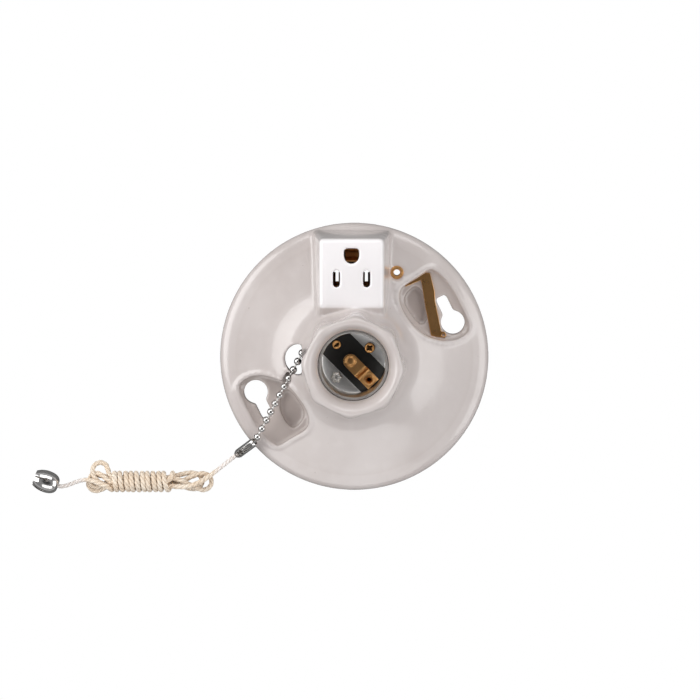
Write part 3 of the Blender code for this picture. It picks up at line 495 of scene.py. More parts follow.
def oblong(x, y):
    return [(x[0], y[0]), (x[1], y[0]), (x[1], y[1]), (x[0], y[1])]


def block(name, x, y, z):
    return slab(name, oblong(x, y), *z)


def peg(name, radius, z0, z1, at=(0.0, 0.0), steps=48):
    return slab(name, arc(at, radius, 0.0, FULL_TURN, steps)[:-1], z0, z1)


def polar(corner):
    """Radius and height of a corner in mm, and its angle round Z."""
    return (math.hypot(corner.co.x, corner.co.y) / MM, corner.co.z / MM,
            math.atan2(corner.co.y, corner.co.x))


def spread(corner, share):
    corner.co.x *= share
    corner.co.y *= share


def set_down(obj, at, turn=0.0):
    """Move a piece made on the Z axis to its place on the plate."""
    obj.data.transform(Matrix.Translation(Vector((*at, 0.0)) * MM) @ Matrix.Rotation(turn, 4, "Z"))
    return obj


def stand(obj, start, direction, roll=0.0):
    """Turn a piece made round +Z to a direction, move it to its start and fix its place."""
    turn = direction.to_track_quat("Z", "X").to_matrix().to_4x4()
    obj.data.transform(Matrix.Translation(start * MM) @ turn @ Matrix.Rotation(roll, 4, "Z"))
    return obj


def boolean(target, operation, *tools):
    for tool in tools:
        take(target)
        step = target.modifiers.new(tool.name, "BOOLEAN")
        step.operation = operation
        step.solver = "EXACT"
        step.object = tool
        bpy.ops.object.modifier_apply(modifier=step.name)
        bpy.data.objects.remove(tool, do_unlink=True)
    return target


def cut(target, *tools):
    return boolean(target, "DIFFERENCE", *tools)


def shaped(obj, kind, **settings):
    """Add a modifier and apply it."""
    take(obj)
    step = obj.modifiers.new(kind.lower(), kind)
    for key, value in settings.items():
        setattr(step, key, value)
    bpy.ops.object.modifier_apply(modifier=step.name)
    return obj


def joined(name, parts):
    take(parts[0])
    for part in parts:
        part.select_set(True)
    bpy.ops.object.join()
    parts[0].name = parts[0].data.name = name
    return parts[0]


def smooth(obj, angle=40.0):
    take(obj)
    bpy.ops.object.shade_smooth_by_angle(angle=math.radians(angle))
    return obj


def coat(obj, material):
    obj.data.materials.clear()
    obj.data.materials.append(material)
    return obj


def added(name, data):
    obj = bpy.data.objects.new(name, data)
    bpy.context.scene.collection.objects.link(obj)
    return obj


def fitted(obj, material, node, body):
    """Coat a piece, let it stand for its CAD node and fix it to its body."""
    coat(obj, material)
    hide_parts(node)
    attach(obj, body)


def arc(at, radius, first, sweep, steps):
    """Points along an arc; the angles are in radians."""
    turns = [first + sweep * k / steps for k in range(steps + 1)]
    return [(at[0] + radius * math.cos(a), at[1] + radius * math.sin(a)) for a in turns]


def rounded(corners, radius, steps=6):
    out = []
    for k, corner in enumerate(corners):
        here = Vector(corner)
        before = (Vector(corners[k - 1]) - here).normalized()
        after = (Vector(corners[(k + 1) % len(corners)]) - here).normalized()
        half = before.angle(after) / 2.0
        back = radius / math.tan(half)
        centre = here + (before + after).normalized() * radius / math.sin(half)
        start, end = here + before * back - centre, here + after * back - centre
        out += [centre + start.slerp(end, n / steps) for n in range(steps + 1)]
    return out


def curve_through(points, per_span, closed=False):
    """Catmull-Rom points through the given ones."""
    points = [Vector(p) for p in points]
    count = len(points)
    if closed:
        fetch = lambda k: points[k % count]
    else:
        ends = [2 * points[0] - points[1], *points, 2 * points[-1] - points[-2]]
        fetch = lambda k: ends[k + 1]
    out = []
    for k in range(count if closed else count - 1):
        p0, p1, p2, p3 = (fetch(k + n) for n in (-1, 0, 1, 2))
        for n in range(per_span):
            t = n / per_span
            out.append(0.5 * (2 * p1 + (p2 - p0) * t + (2 * p0 - 5 * p1 + 4 * p2 - p3) * t ** 2
                              + (3 * p1 - p0 - 3 * p2 + p3) * t ** 3))
    return out if closed else out + [points[-1]]


def grown(loop, distance):
    out = []
    count = len(loop)
    area = sum(loop[k - 1][0] * loop[k][1] - loop[k][0] * loop[k - 1][1] for k in range(count))
    side = 1.0 if area > 0 else -1.0
    for k in range(count):
        along = (Vector(loop[(k + 1) % count]) - Vector(loop[k - 1])).normalized()
        out.append((loop[k][0] + side * along.y * distance,
                    loop[k][1] - side * along.x * distance))
    return out


def half_turn(loop):
    return [(-x, -y) for x, y in loop]


def clamped(share):
    return min(1.0, max(0.0, share))


def between(table, key, value, x):
    """Value column read off a table at x in its key column."""
    for low, high in zip(table, table[1:]):
        a, b = sorted((low, high), key=lambda row: row[key])
        if a[key] <= x <= b[key] and b[key] > a[key]:
            return a[value] + (b[value] - a[value]) * (x - a[key]) / (b[key] - a[key])
    return 0.0


def plate_height(x, y):
    """Height of the plate's top face above a point, outside the neck."""
    top = [row for row in OUTLINE if row[0] > 22.0 and row[1] > 1.7]
    return between(top, 0, 1, math.hypot(x, y))


# ---------------------------------------------------------------- porcelain

def outlet_block():
    """Drafted block that carries the outlet, leaning in towards its face."""
    side = [(54.3, 3.2), (51.7, OUTLET_FACE), (22.8, OUTLET_FACE), (16.5, 19.6), (16.5, 6.0)]
    obj = pulled(ring_of_points("outlet_block", [(OUTLET_X - 10.0, y, z) for y, z in side], "NGON"),
                 (20.0, 0.0, 0.0))
    for corner in obj.data.vertices:
        half = OUTLET_HALF + (OUTLET_FACE - corner.co.z / MM) * OUTLET_DRAFT
        sign = -1.0 if corner.co.x / MM < OUTLET_X else 1.0
        corner.co.x = (OUTLET_X + sign * half) * MM
    tidy(obj)
    return shaped(obj, "BEVEL", width=1.7 * MM, segments=3, limit_method="ANGLE",
                  angle_limit=math.radians(25.0))


def plain_tube(name, line, radius, sides=12, closed=False):
    """A round bar along a line, in mm."""
    data = bpy.data.curves.new(name, "CURVE")
    data.dimensions = "3D"
    data.bevel_depth = radius * MM
    data.bevel_resolution = sides // 4
    data.use_fill_caps = not closed
    spline = data.splines.new("POLY")
    spline.points.add(len(line) - 1)
    spline.use_cyclic_u = closed
    for point, place in zip(spline.points, line):
        point.co = (*(Vector(place) * MM), 1.0)
    take(added(name, data))
    bpy.ops.object.convert(target="MESH")
    return tidy(bpy.context.object, 0.0005)


def back_hollow(windows):
    hollow = lathe("back_hollow", HOLLOW, 96)
    for k, loop in enumerate(windows):
        cut(hollow, slab(f"well_{k}", grown(loop, WELL_WALL), -3.0, 19.0))
    for k, at in enumerate((LINE_AT, NEUTRAL_AT)):
        cut(hollow, peg(f"boss_{k}", 3.9, 5.9, 19.0, at, 32))
        boolean(hollow, "UNION", peg(f"boss_hole_{k}", 1.6, 3.0, 10.6, at, 24))
    return hollow


def keyhole(name, sign):
    big, end = (Vector((math.cos(turn), math.sin(turn))) * sign * SCREW_CIRCLE_R
                for turn in (KEY_BIG, KEY_END))
    along = (end - big).normalized()
    across = Vector((-along.y, along.x)) * KEY_SLOT_R
    far = end + along * KEY_SLOT_R
    slot = rounded([big - across, far - across, far + across, big + across], 1.5)
    return [peg(f"{name}_hole", KEY_BIG_R, -2.0, FLOOR_Z + 2.0, big),
            slab(f"{name}_slot", slot, -1.5, FLOOR_Z + 1.5)]


def around(middle, half):
    return middle - half, middle + half


def outlet_openings():
    """Two blade slots and the ground opening, with the pockets behind them."""
    pocket, retainer = (-2.0, POCKET_TOP), (-2.0, 5.3)
    tools = []
    for k, sign in enumerate((-1.0, 1.0)):
        x = OUTLET_X + sign * SLOT_GAP
        slot = rounded(oblong(around(x, SLOT_HALF), around(SLOT_Y, 4.0)), 1.3)
        tools += [slab(f"slot_{k}", slot, 21.0, 28.0),
                  block(f"blade_pocket_{k}", around(x, 2.9), (30.0, 39.4), pocket)]
    arch = arc((OUTLET_X, GROUND_Y), GROUND_R, math.pi, math.pi, 16)
    arch += [(OUTLET_X + GROUND_R, GROUND_Y + 2.6), (OUTLET_X + 2.6, GROUND_Y + GROUND_R),
             (OUTLET_X - 2.6, GROUND_Y + GROUND_R), (OUTLET_X - GROUND_R, GROUND_Y + 2.6)]
    return tools + [
        slab("ground_slot", arch, 21.0, 28.5),
        block("ground_pocket", around(OUTLET_X, 4.2), (40.9, 49.2), pocket),
        block("retainer_recess", around(OUTLET_X, 13.3), (26.2, 50.6), retainer),
        peg("retainer_screw_hole", 1.45, 3.0, 12.6, (OUTLET_X, 28.3), 24)]


def lever_pocket():
    """Room for the lever's swing, between two radii."""
    first, sweep = math.radians(118.0), math.radians(72.0)
    loop = arc((0.0, 0.0), 23.6, first, sweep, 24)
    loop += arc((0.0, 0.0), 14.2, first, sweep, 24)[::-1]
    return slab("lever_pocket", loop, 9.0, 17.4)


def earth_channel():
    """Round-ended channel from the ground contact to the eyelet."""
    start, end = (9.5, 42.0), EYELET_AT
    lean = math.atan2(end[1] - start[1], end[0] - start[0])
    loop = (arc(end, 4.3, lean - math.pi / 2, math.pi, 16)
            + arc(start, 4.3, lean + math.pi / 2, math.pi, 16))
    return slab("earth_channel", loop, -2.0, 5.8)


def glazed_body():
    """The whole porcelain casting, with every edge rounded over as glaze leaves it."""
    profile = curve_through([row[:2] for row in OUTLINE], 4)
    body = lathe("porcelain_glazed_body", profile + BORE_LINE, 160)
    for corner in body.data.vertices:
        radius, height, turn = polar(corner)
        if height > LOBE_FROM_Z and radius > 17.2:
            swell = between(OUTLINE, 1, 2, height) if radius > 20.0 else between(
                OUTLINE[:5], 0, 2, radius)
            spread(corner, (radius + swell * math.cos(LOBES * (turn - LOBE_PHASE))) / radius)
    boolean(body, "UNION", outlet_block())
    window, recess = curve_through(WINDOW, 5, True), curve_through(RECESS, 5, True)
    windows = (window, half_turn(window))
    for k, loop in enumerate(windows):
        edge = [(x, y, plate_height(x, y) - 0.4) for x, y in grown(loop, 1.0)]
        boolean(body, "UNION", plain_tube(f"window_rim_{k}", edge, RIM_R, closed=True))
    cut(body, back_hollow(windows))
    for k, (loop, deep) in enumerate(zip(windows, (recess, half_turn(recess)))):
        cut(body, slab(f"window_{k}", loop, FLOOR_Z, 30.0),
                slab(f"recess_{k}", deep, RECESS_Z, 12.0),
                *keyhole(f"keyhole_{k}", (1.0, -1.0)[k]))
    cut(body, *outlet_openings())
    hole = arc(CHAIN_HOLE_AT, CHAIN_HOLE_R, math.radians(84.0), math.radians(192.0), 32)
    passage = peg("chain_passage", 2.15, 0.0, 37.6, steps=32)
    stand(passage, chain_point(-11.2), chain_direction())
    cut(body, slab("chain_hole", hole, -2.0, 34.0), passage,
            lever_pocket(), earth_channel(),
            peg("eyelet_hole", 1.95, -2.0, 14.0, EYELET_AT, 32),
            peg("eyelet_seat", 3.2, 8.55, 16.0, EYELET_AT, 40),
            slab("strap_way", [(13.6, 32.8), (27.4, 32.6), (31.0, 36.6), (21.5, 39.8),
                               (13.6, 39.8)], 4.95, 6.0),
            block("neutral_way", (3.4, 8.2), (8.0, 19.7), (11.6, 16.95)))
    shaped(body, "REMESH", mode="VOXEL", voxel_size=0.68 * MM,
           adaptivity=0.0, use_smooth_shade=True)
    return shaped(body, "SMOOTH", factor=0.5, iterations=5)


# ---------------------------------------------------------------- metalwork

def threaded_shell():
    """Plated screw shell: rolled thread, turned-out lip and two flanges at the base."""
    inner = [(SHELL_R, SHELL_BASE + 1.2 + 0.42 * k) for k in range(43)]
    outer = [(r + SHELL_WALL, z) for r, z in inner]
    lip = [(13.5, 40.2), (13.4, 40.65), (13.5, 41.1), (13.75, 41.38), (14.05, 41.45),
           (14.35, 41.35), (14.53, 41.05), (14.5, 40.7), (14.25, 40.4)]
    profile = [(0.0, SHELL_BASE + 0.4), (13.0, SHELL_BASE + 0.4), (13.5, SHELL_BASE + 0.7)] + inner
    profile += lip + outer[::-1] + [(13.7, SHELL_BASE + 0.3), (13.3, SHELL_BASE), (0.0, SHELL_BASE)]
    shell = lathe("plated_screw_shell", profile, 96)
    for corner in shell.data.vertices:
        radius, height, turn = polar(corner)
        if radius < 13.4:
            continue
        fade = clamped((height - THREAD_FROM_Z) / 2.0) * clamped((THREAD_TO_Z - height) / 1.5)
        wave = THREAD_SWELL * math.sin(FULL_TURN * height / THREAD_PITCH - turn) * fade
        spread(corner, (radius + wave) / radius)
    gap = rounded(oblong((-15.5, 15.5), (-6.65, 6.65)), 0.5, 3)
    opening = slab("shell_base_opening", gap, SHELL_BASE - 1.0, SHELL_BASE + 0.75)
    opening.data.transform(Matrix.Rotation(math.radians(-45.0), 4, "Z"))
    return cut(shell, opening,
                   peg("shell_screw_pass", 1.4, 20.0, 23.0, SHELL_SCREW_AT, 24),
                   peg("shell_rivet_pass", 1.3, 20.0, 23.0, SHELL_RIVET_AT, 24))


def sprung_leaf():
    """Centre contact pressed from strip: stepped up, round at its tip, with a raised button."""
    run = (Vector(LEAF_DIMPLE) - Vector(LEAF_EYELET)).length
    deselect()
    bpy.ops.mesh.primitive_grid_add(x_subdivisions=72, y_subdivisions=24, size=2.0 * MM)
    leaf = bpy.context.object
    leaf.name = leaf.data.name = "sprung_centre_leaf"
    rise = [(-2.7, 21.62), (2.9, 21.62), (3.6, 21.8), (4.7, 23.2), (5.5, 23.72), (run + 3.2, 24.5)]
    for corner in leaf.data.vertices:
        x = -2.6 + (run + 5.65) * (corner.co.x / MM + 1.0) / 2.0
        past = max(0.0, x - run)
        half = LEAF_HALF if past == 0.0 else math.sqrt(max(0.02, LEAF_HALF ** 2 - past ** 2))
        y = corner.co.y / MM * half
        out = math.hypot(x - run, y)
        button = 0.75 * max(0.0, 1.0 - (out / 2.35) ** 4)
        seat = 0.12 * max(0.0, 1.0 - abs(math.hypot(x, y) - 2.35) / 0.35)
        corner.co = Vector((x, y, between(rise, 0, 1, x) + button - seat)) * MM
    shaped(leaf, "SOLIDIFY", thickness=LEAF_THICK * MM, offset=-1.0)
    cut(leaf, peg("leaf_pass", 1.45, 20.0, 23.0, steps=32))
    lean = math.atan2(LEAF_DIMPLE[1] - LEAF_EYELET[1], LEAF_DIMPLE[0] - LEAF_EYELET[0])
    return set_down(leaf, LEAF_EYELET, lean)


def earth_strap():
    """Flat strap across the well, its upper end running back along the well's edge."""
    strap = slab("brass_ground_strap", [
        (14.6, 33.6), (25.3, 33.3), (21.2, 30.75), (21.9, 30.2), (28.4, 33.0), (30.2, 21.6),
        (32.7, 9.3), (36.6, 8.6), (38.6, 8.4), (39.2, 9.6), (38.6, 10.9), (37.0, 11.2),
        (34.4, 24.0), (34.1, 28.5), (32.2, 36.0), (30.4, 36.2), (21.4, 39.2),
        (14.6, 39.2)], *LINK_Z)
    cut(strap, peg("strap_pass", 1.95, 3.0, 8.0, EYELET_AT),
            peg("ear_pass", 0.65, 3.0, 8.0, STRAP_EAR, 24))
    return shaped(strap, "BEVEL", width=0.13 * MM, segments=2, limit_method="ANGLE")


def domed_screw(name, at, head, radius, shank, shank_r, arms):
    """Pan-head screw standing on its shank: two arms cut in the head make a cross, one a slot."""
    low, high = head
    screw = lathe(name, [
        (0.0, high), (radius * 0.45, high - 0.04), (radius * 0.78, high - 0.2),
        (radius * 0.95, high - 0.5), (radius, low + 0.25), (radius - 0.08, low), (shank_r, low),
        (shank_r, shank), (0.0, shank)], 40)
    for k in range(arms):
        arm = block(f"{name}_arm_{k}", around(0.0, radius * 0.66), around(0.0, 0.42),
                    (high - 0.85, high + 1.0))
        arm.data.transform(Matrix.Rotation(math.radians(38.0 + 90.0 * k), 4, "Z"))
        cut(screw, arm)
    return set_down(screw, at)


def starred_rivet():
    """Rivet through the shell's flange, its head staked in six petals."""
    rivet = lathe("staked_rivet", [
        (0.0, 22.45), (0.55, 22.5), (0.95, 22.85), (1.5, 22.75), (2.1, 22.3), (2.4, 21.75),
        (1.1, 21.75), (1.1, 17.4), (0.0, 17.4)], 48)
    for corner in rivet.data.vertices:
        reach, height, turn = polar(corner)
        if height > 21.7 and reach > 0.5:
            spread(corner, 1.0 + 0.12 * math.cos(6.0 * turn))
    return set_down(rivet, SHELL_RIVET_AT)


def chain_point(t):
    """Point on the chain's line, t mm from where it is nearest the lever's axis."""
    along = Vector((math.cos(CHAIN_ANGLE), math.sin(CHAIN_ANGLE)))
    flat = Vector((along.y, -along.x)) * CHAIN_R + along * t
    return Vector((flat.x, flat.y, CHAIN_Z - CHAIN_FALL * t))


def chain_direction():
    return (chain_point(1.0) - chain_point(0.0)).normalized()


def ball_bead(name):
    """Hollow ball rolled from strip: a hole with a turned-in edge at each end, a fine seam."""
    outside = arc((0.0, 0.0), BEAD_R, math.radians(-70.0), math.radians(140.0), 16)
    outside[8] = (BEAD_R - 0.05, 0.0)
    inside = arc((0.0, 0.0), BEAD_R - 0.28, math.radians(66.0), math.radians(-132.0), 11)
    return lathe(name, outside + inside, 24)


def link_pin(name, length):
    """Short wire between two beads, with a head inside each."""
    head, end = 0.62, length / 2
    return lathe(name, [
        (0.0, -end), (head, -end), (head, 0.35 - end), (WIRE_R, 0.6 - end), (WIRE_R * 0.9, 0.0),
        (WIRE_R, end - 0.6), (head, end - 0.35), (head, end), (0.0, end)], 12)


def linked_chain():
    places = [ANCHOR_BEAD] + [FIRST_BEAD + BEAD_PITCH * k for k in range(BEADS)]
    parts = []
    for k, t in enumerate(places):
        parts.append(stand(ball_bead(f"bead_{k}"), chain_point(t), chain_direction(), 0.4 * k))
        if k + 1 < len(places):
            span = (places[k + 1] - t) - 2.0 * (BEAD_R - 0.75)
            parts.append(stand(link_pin(f"link_{k}", span), chain_point((t + places[k + 1]) / 2.0),
                               chain_direction()))
    return joined("nickel_bead_chain", parts)


def chain_sleeve():
    """Sleeve rolled from sheet that clips on the last bead and crimps on the cord."""
    wall = 0.35
    inner = COUPLING_R - wall
    sleeve = lathe("rolled_coupling", [
        (inner - 0.25, 0.0), (COUPLING_R - 0.35, -0.05), (COUPLING_R - 0.1, 0.15),
        (COUPLING_R, 0.6), (COUPLING_R, COUPLING_LEN * 0.5), (COUPLING_R, COUPLING_LEN - 1.3),
        (COUPLING_R - 0.25, COUPLING_LEN - 0.6), (1.35, COUPLING_LEN), (1.02, COUPLING_LEN),
        (1.02, COUPLING_LEN - 0.35), (inner, COUPLING_LEN - 1.2), (inner, 0.5)], 64)
    loop = rounded(oblong((1.4, COUPLING_LEN - 0.9), around(0.0, 0.42)), 0.35, 4)
    slot = slab("coupling_slot", [(-z, y) for z, y in loop], 0.9, 3.0)
    slot.data.transform(Matrix.Rotation(math.radians(90.0), 4, "Y"))
    cut(sleeve, slot)
    return stand(sleeve, COUPLING_START, COUPLING_DIR)


def petal_bell():
    """Pressed bell lying on its side: slit skirt, round stress holes, petals bent about."""
    wall = 0.42
    outer = [(1.5, BELL_LEN), (2.4, BELL_LEN - 0.15), (3.4, BELL_LEN - 0.8), (4.2, BELL_LEN - 2.1),
             (4.6, BELL_LEN - 3.7), (BELL_R, 5.2), (4.55, 3.6), (4.15, 1.9), (3.6, 0.7), (3.2, 0.0)]
    outer = curve_through(outer, 3)
    inner = [(max(1.12, r - wall), z - (wall if z > BELL_LEN - 2.2 else 0.0))
             for r, z in outer[:-1]]
    profile = outer + [(3.2 - wall, 0.0)] + inner[::-1]
    bell = lathe("nickel_cord_bell", [(r, BELL_LEN - z) for r, z in profile], 72)
    for k in range(BELL_SLITS):
        roll = Matrix.Rotation(BELL_SLIT_TURN + FULL_TURN * k / BELL_SLITS, 4, "Z")
        slit = block(f"slit_{k}", (1.5, 7.0), (-0.4, 0.4), (BELL_LEN - 5.0, BELL_LEN + 2.0))
        slit.data.transform(roll)
        hole = peg(f"slit_end_{k}", 0.9, 1.5, 7.0, steps=24)
        hole.data.transform(roll @ Matrix.Translation((0, 0, (BELL_LEN - 5.2) * MM))
                            @ Matrix.Rotation(math.radians(90.0), 4, "Y"))
        cut(bell, slit, hole)
    for corner in bell.data.vertices:
        _, height, turn = polar(corner)
        past = max(0.0, height - (BELL_LEN - 5.0)) / 5.0
        petal = int(((turn - BELL_SLIT_TURN) % FULL_TURN) / FULL_TURN * BELL_SLITS) % BELL_SLITS
        spread(corner, 1.0 + (PETAL_BENDS[petal] - 1.0) * past ** 1.5)
    return stand(bell, BELL_MOUTH - BELL_DIR * BELL_LEN, BELL_DIR)


# ---------------------------------------------------------------- cord

def cord_route():
    """Centre line of the whole cord: out of the coupling, six runs, the wraps, the bell."""
    across = math.sqrt(3.0) / 2.0 * STRAND_R
    _, middle, level = HANK_MID
    low, high = level - STRAND_R / 2.0, level + STRAND_R / 2.0
    near, far = middle - across, middle + across
    right, left = WRAP_FROM_X + 0.3, WRAP_TO_X - 0.2
    mouth = COUPLING_START + COUPLING_DIR * (COUPLING_LEN - 1.0)

    def run(start, end, y, z):
        return [(start, y, z), ((right + left) / 2, y, z), (end, y, z)]

    points = [
        tuple(mouth), tuple(mouth + COUPLING_DIR * 1.6), (-53.2, -44.4, 3.0), (-56.2, -46.9, 2.6),
        (-59.4, -49.3, 3.5), (-62.6, -51.6, 4.9), (-66.5, -53.7, 6.2), (-71.0, -55.2, 6.8),
        (-75.8, -55.4, 6.2),
        *run(right, left, near, high),
        (-106.4, -54.7, 5.2), (-109.2, -53.4, 5.1), (-111.0, -51.4, 5.0), (-111.8, -48.9, 4.0),
        (-110.9, -46.5, 2.8), (-108.5, -45.5, 2.1), (-106.1, -46.5, 2.4), (-105.1, -48.9, 3.4),
        (-104.2, -50.9, 4.6), (-101.6, -51.9, high),
        *run(left, right, far, high)[1:],
        (-76.8, -51.9, 5.4), (-72.5, -53.4, 5.0), (-68.6, -55.7, 3.9), (-64.6, -57.2, 2.9),
        (-62.0, -56.2, 2.8), (-60.9, -53.7, 2.8), (-62.0, -51.2, 2.8), (-64.6, -50.1, 2.8),
        (-68.6, -51.1, 2.8), (-72.5, -52.9, 2.9), (-76.8, -54.7, 3.4),
        *run(right, left, near, low),
        (-106.9, -56.6, 2.3), (-110.6, -58.0, 1.05), (-113.0, -57.0, 0.95), (-114.0, -54.6, 0.95),
        (-113.0, -52.2, 0.95), (-110.6, -51.2, 1.2), (-107.4, -51.3, 2.3),
        *run(left, right, far, low),
        (-76.8, -51.2, 3.0), (-73.2, -50.5, 1.6), (-70.6, -50.1, 1.0),
        (-68.4, -50.2, 0.95), (-66.0, -51.2, 0.95), (-65.0, -53.6, 0.95), (-66.0, -56.0, 0.95),
        (-68.4, -57.0, 0.95), (-71.6, -56.5, 1.0), (-75.0, -55.0, 1.5), (-77.6, -53.8, 2.2),
        *run(right, left, middle, level - STRAND_R),
        (-107.0, -54.9, 2.8), (-110.0, -56.1, 2.8), (-112.3, -55.2, 2.8), (-113.2, -53.0, 2.9),
        (-112.3, -50.8, 3.1), (-110.0, -49.9, 3.7), (-107.2, -51.0, 5.0),
        (-105.0, -52.6, 6.1), *run(-102.6, right - 3.6, middle, level + STRAND_R)]
    turns = [(math.radians(a), r, x) for a, r, x in (
        (87.0, 1.9, -81.6), (76.0, 2.4, -79.7), (52.0, 3.0, -78.2), (24.0, 3.5, -77.6),
        (-8.0, 3.7, -77.5), (-45.0, WRAP_R, -77.7), (-90.0, WRAP_R, -78.2),
        (-135.0, WRAP_R, -78.7), (-180.0, WRAP_R, -79.4), (-225.0, WRAP_R, -80.0),
        (-262.0, WRAP_R, -80.5))]
    per_turn = 18
    for k in range(int(WRAPS * per_turn) + 1):
        share = k / (WRAPS * per_turn)
        turn = math.radians(-282.0) - FULL_TURN * k / per_turn
        sway = 0.16 * math.sin(2.3 * turn / FULL_TURN + 0.7)
        turns.append((turn, WRAP_R, WRAP_FROM_X + (WRAP_TO_X - WRAP_FROM_X) * share + sway))
    points += [(x, middle + r * math.cos(turn), level + r * math.sin(turn))
               for turn, r, x in turns]
    neck = BELL_MOUTH - BELL_DIR * BELL_LEN
    points += [
        (-104.2, -56.1, 6.9), (-105.5, -55.1, 7.7), (-107.4, -54.4, 7.9), (-110.0, -53.4, 7.3),
        (-112.6, -52.8, 5.6), (-115.2, -52.9, 3.3), (-117.9, -53.6, 1.9), (-120.6, -54.6, 2.1),
        (-123.2, -55.4, 3.4),
        tuple(neck - BELL_DIR * 0.9 + Vector((0.0, 0.0, -0.1))), tuple(neck + BELL_DIR * 2.2)]
    return points


def evenly(line, step):
    """The same line with points a fixed step apart."""
    out, spare = [line[0]], 0.0
    for a, b in zip(line, line[1:]):
        span = (b - a).length
        reach = step - spare
        while reach <= span and span > 0.0:
            out.append(a.lerp(b, reach / span))
            reach += step
        spare = span - (reach - step)
    return out


def slack_swell(here):
    """The slack cord in the hank is fatter than the stretched ends."""
    into = min(here.x - (WRAP_TO_X - 11.5), -58.0 - here.x) / 6.0
    return 1.0 + 0.19 * clamped(into)


def relaxed(line, rounds):
    """The same line with its corners eased, ends held."""
    for _ in range(rounds):
        eased = [(a + 2.0 * b + c) / 4.0 for a, b, c in zip(line, line[1:], line[2:])]
        line = [line[0], *eased, line[-1]]
    return line


def laid_rope(name, line, diameter, swell=None):
    """Three twisted plies round a centre line, closed at both ends, with a UV map along it."""
    normal = Vector((0.0, 0.0, 1.0))
    rings, travelled = [], [0.0]
    for k, here in enumerate(line):
        ahead = (line[min(k + 1, len(line) - 1)] - line[max(k - 1, 0)]).normalized()
        normal = (normal - ahead * normal.dot(ahead)).normalized()
        side = ahead.cross(normal)
        if k:
            travelled.append(travelled[-1] + (here - line[k - 1]).length)
        ring = []
        for n in range(CORD_SIDES):
            turn = FULL_TURN * n / CORD_SIDES
            ply = abs(math.sin(PLIES / 2.0 * (turn + FULL_TURN * travelled[-1] / PLY_PITCH)))
            reach = diameter / 2.0 * (0.80 + 0.24 * ply ** 0.7) * (swell(here) if swell else 1.0)
            ring.append(here + (normal * math.cos(turn) + side * math.sin(turn)) * reach)
        rings.append(ring)
    corners = [c * MM for ring in rings for c in ring] + [line[0] * MM, line[-1] * MM]
    faces = []
    for k in range(len(rings) - 1):
        for n in range(CORD_SIDES):
            m = (n + 1) % CORD_SIDES
            a, b = k * CORD_SIDES, (k + 1) * CORD_SIDES
            faces.append((a + n, a + m, b + m, b + n))
    head, tail, last = len(corners) - 2, len(corners) - 1, (len(rings) - 1) * CORD_SIDES
    for n in range(CORD_SIDES):
        m = (n + 1) % CORD_SIDES
        faces += [(head, m, n), (tail, last + n, last + m)]
    mesh = bpy.data.meshes.new(name)
    mesh.from_pydata([tuple(c) for c in corners], [], faces)
    layer = mesh.uv_layers.new(name="along")
    for polygon in mesh.polygons:
        slots = [mesh.loops[i].vertex_index for i in polygon.loop_indices]
        wraps = CORD_SIDES - 1 in [s % CORD_SIDES for s in slots if s < head]
        for i, s in zip(polygon.loop_indices, slots):
            k, n = (0 if s == head else len(rings) - 1, 0) if s >= head else divmod(s, CORD_SIDES)
            round_it = (n + (CORD_SIDES if wraps and n == 0 else 0)) / CORD_SIDES
            layer.data[i].uv = (travelled[k], round_it)
    obj = take(added(name, mesh))
    bpy.ops.object.shade_smooth()
    return in_edit(obj, lambda: bpy.ops.mesh.normals_make_consistent(inside=False))


# ---------------------------------------------------------------- the add-on

def colour_setting(name, text, value):
    return bpy.props.FloatVectorProperty(name=name, description=text, subtype="COLOR", size=3,
                                         min=0.0, max=1.0, default=value)


class LampholderSettings(bpy.types.PropertyGroup):
    """Colours and sizes that a user would change."""

    glaze_colour: colour_setting("Glaze", "Colour of the glazed porcelain", (0.640, 0.585, 0.565))
    glaze_shade: colour_setting("Glaze shade", "Colour of thin glaze", (0.590, 0.532, 0.510))
    cord_colour: colour_setting("Cord", "Colour of the cotton cord", (0.88, 0.73, 0.57))
    cord_pale: colour_setting("Cord highlight", "Paler yarn of the cord", (0.94, 0.84, 0.71))
    cord_clean: colour_setting("Cord ends", "Whiter cotton of the ends", (0.95, 0.90, 0.87))
    cord_shade: colour_setting("Cord shade", "Colour between the plies", (0.40, 0.26, 0.15))
    brass_colour: colour_setting("Brass", "Colour of the clean brass", (0.88, 0.48, 0.19))
    brass_dark: colour_setting("Brass tarnish", "Colour of the tarnished brass", (0.60, 0.28, 0.10))
    cord_diameter: bpy.props.FloatProperty(
        name="Cord diameter", description="Thickness of the pull cord", unit="LENGTH",
        default=CORD_D * MM, min=0.0012, max=0.0024)
    key_light: bpy.props.FloatProperty(
        name="Key light", description="Power of the large soft light", default=13.0, min=0.0)


def lay_floor():
    """White paper that stays dark in reflections, so that bright metal keeps its edges."""
    deselect()
    bpy.ops.mesh.primitive_plane_add(size=3.2, location=(0.0, 0.0, 0.0))
    floor = bpy.context.object
    floor.name = "studio_floor"
    in_edit(floor, lambda: bpy.ops.mesh.subdivide(number_cuts=3))
    kit = Finish("studio_paper", Roughness=0.85)
    tone = kit.noise(kit.place(), 3.0, 1.0)
    kit.drive(Base_Color=kit.mix(tone, (0.13, 0.13, 0.13), (0.16, 0.16, 0.16)))
    glow, path, both = (kit.tree.nodes.new(f"ShaderNode{kind}")
                        for kind in ("Emission", "LightPath", "MixShader"))
    for start, end in ((path.outputs["Is Camera Ray"], both.inputs[0]),
                       (kit.shader.outputs[0], both.inputs[1]), (glow.outputs[0], both.inputs[2]),
                       (both.outputs[0], kit.tree.nodes["Material Output"].inputs[0])):
        kit.tree.links.new(start, end)
    coat(floor, kit.material)


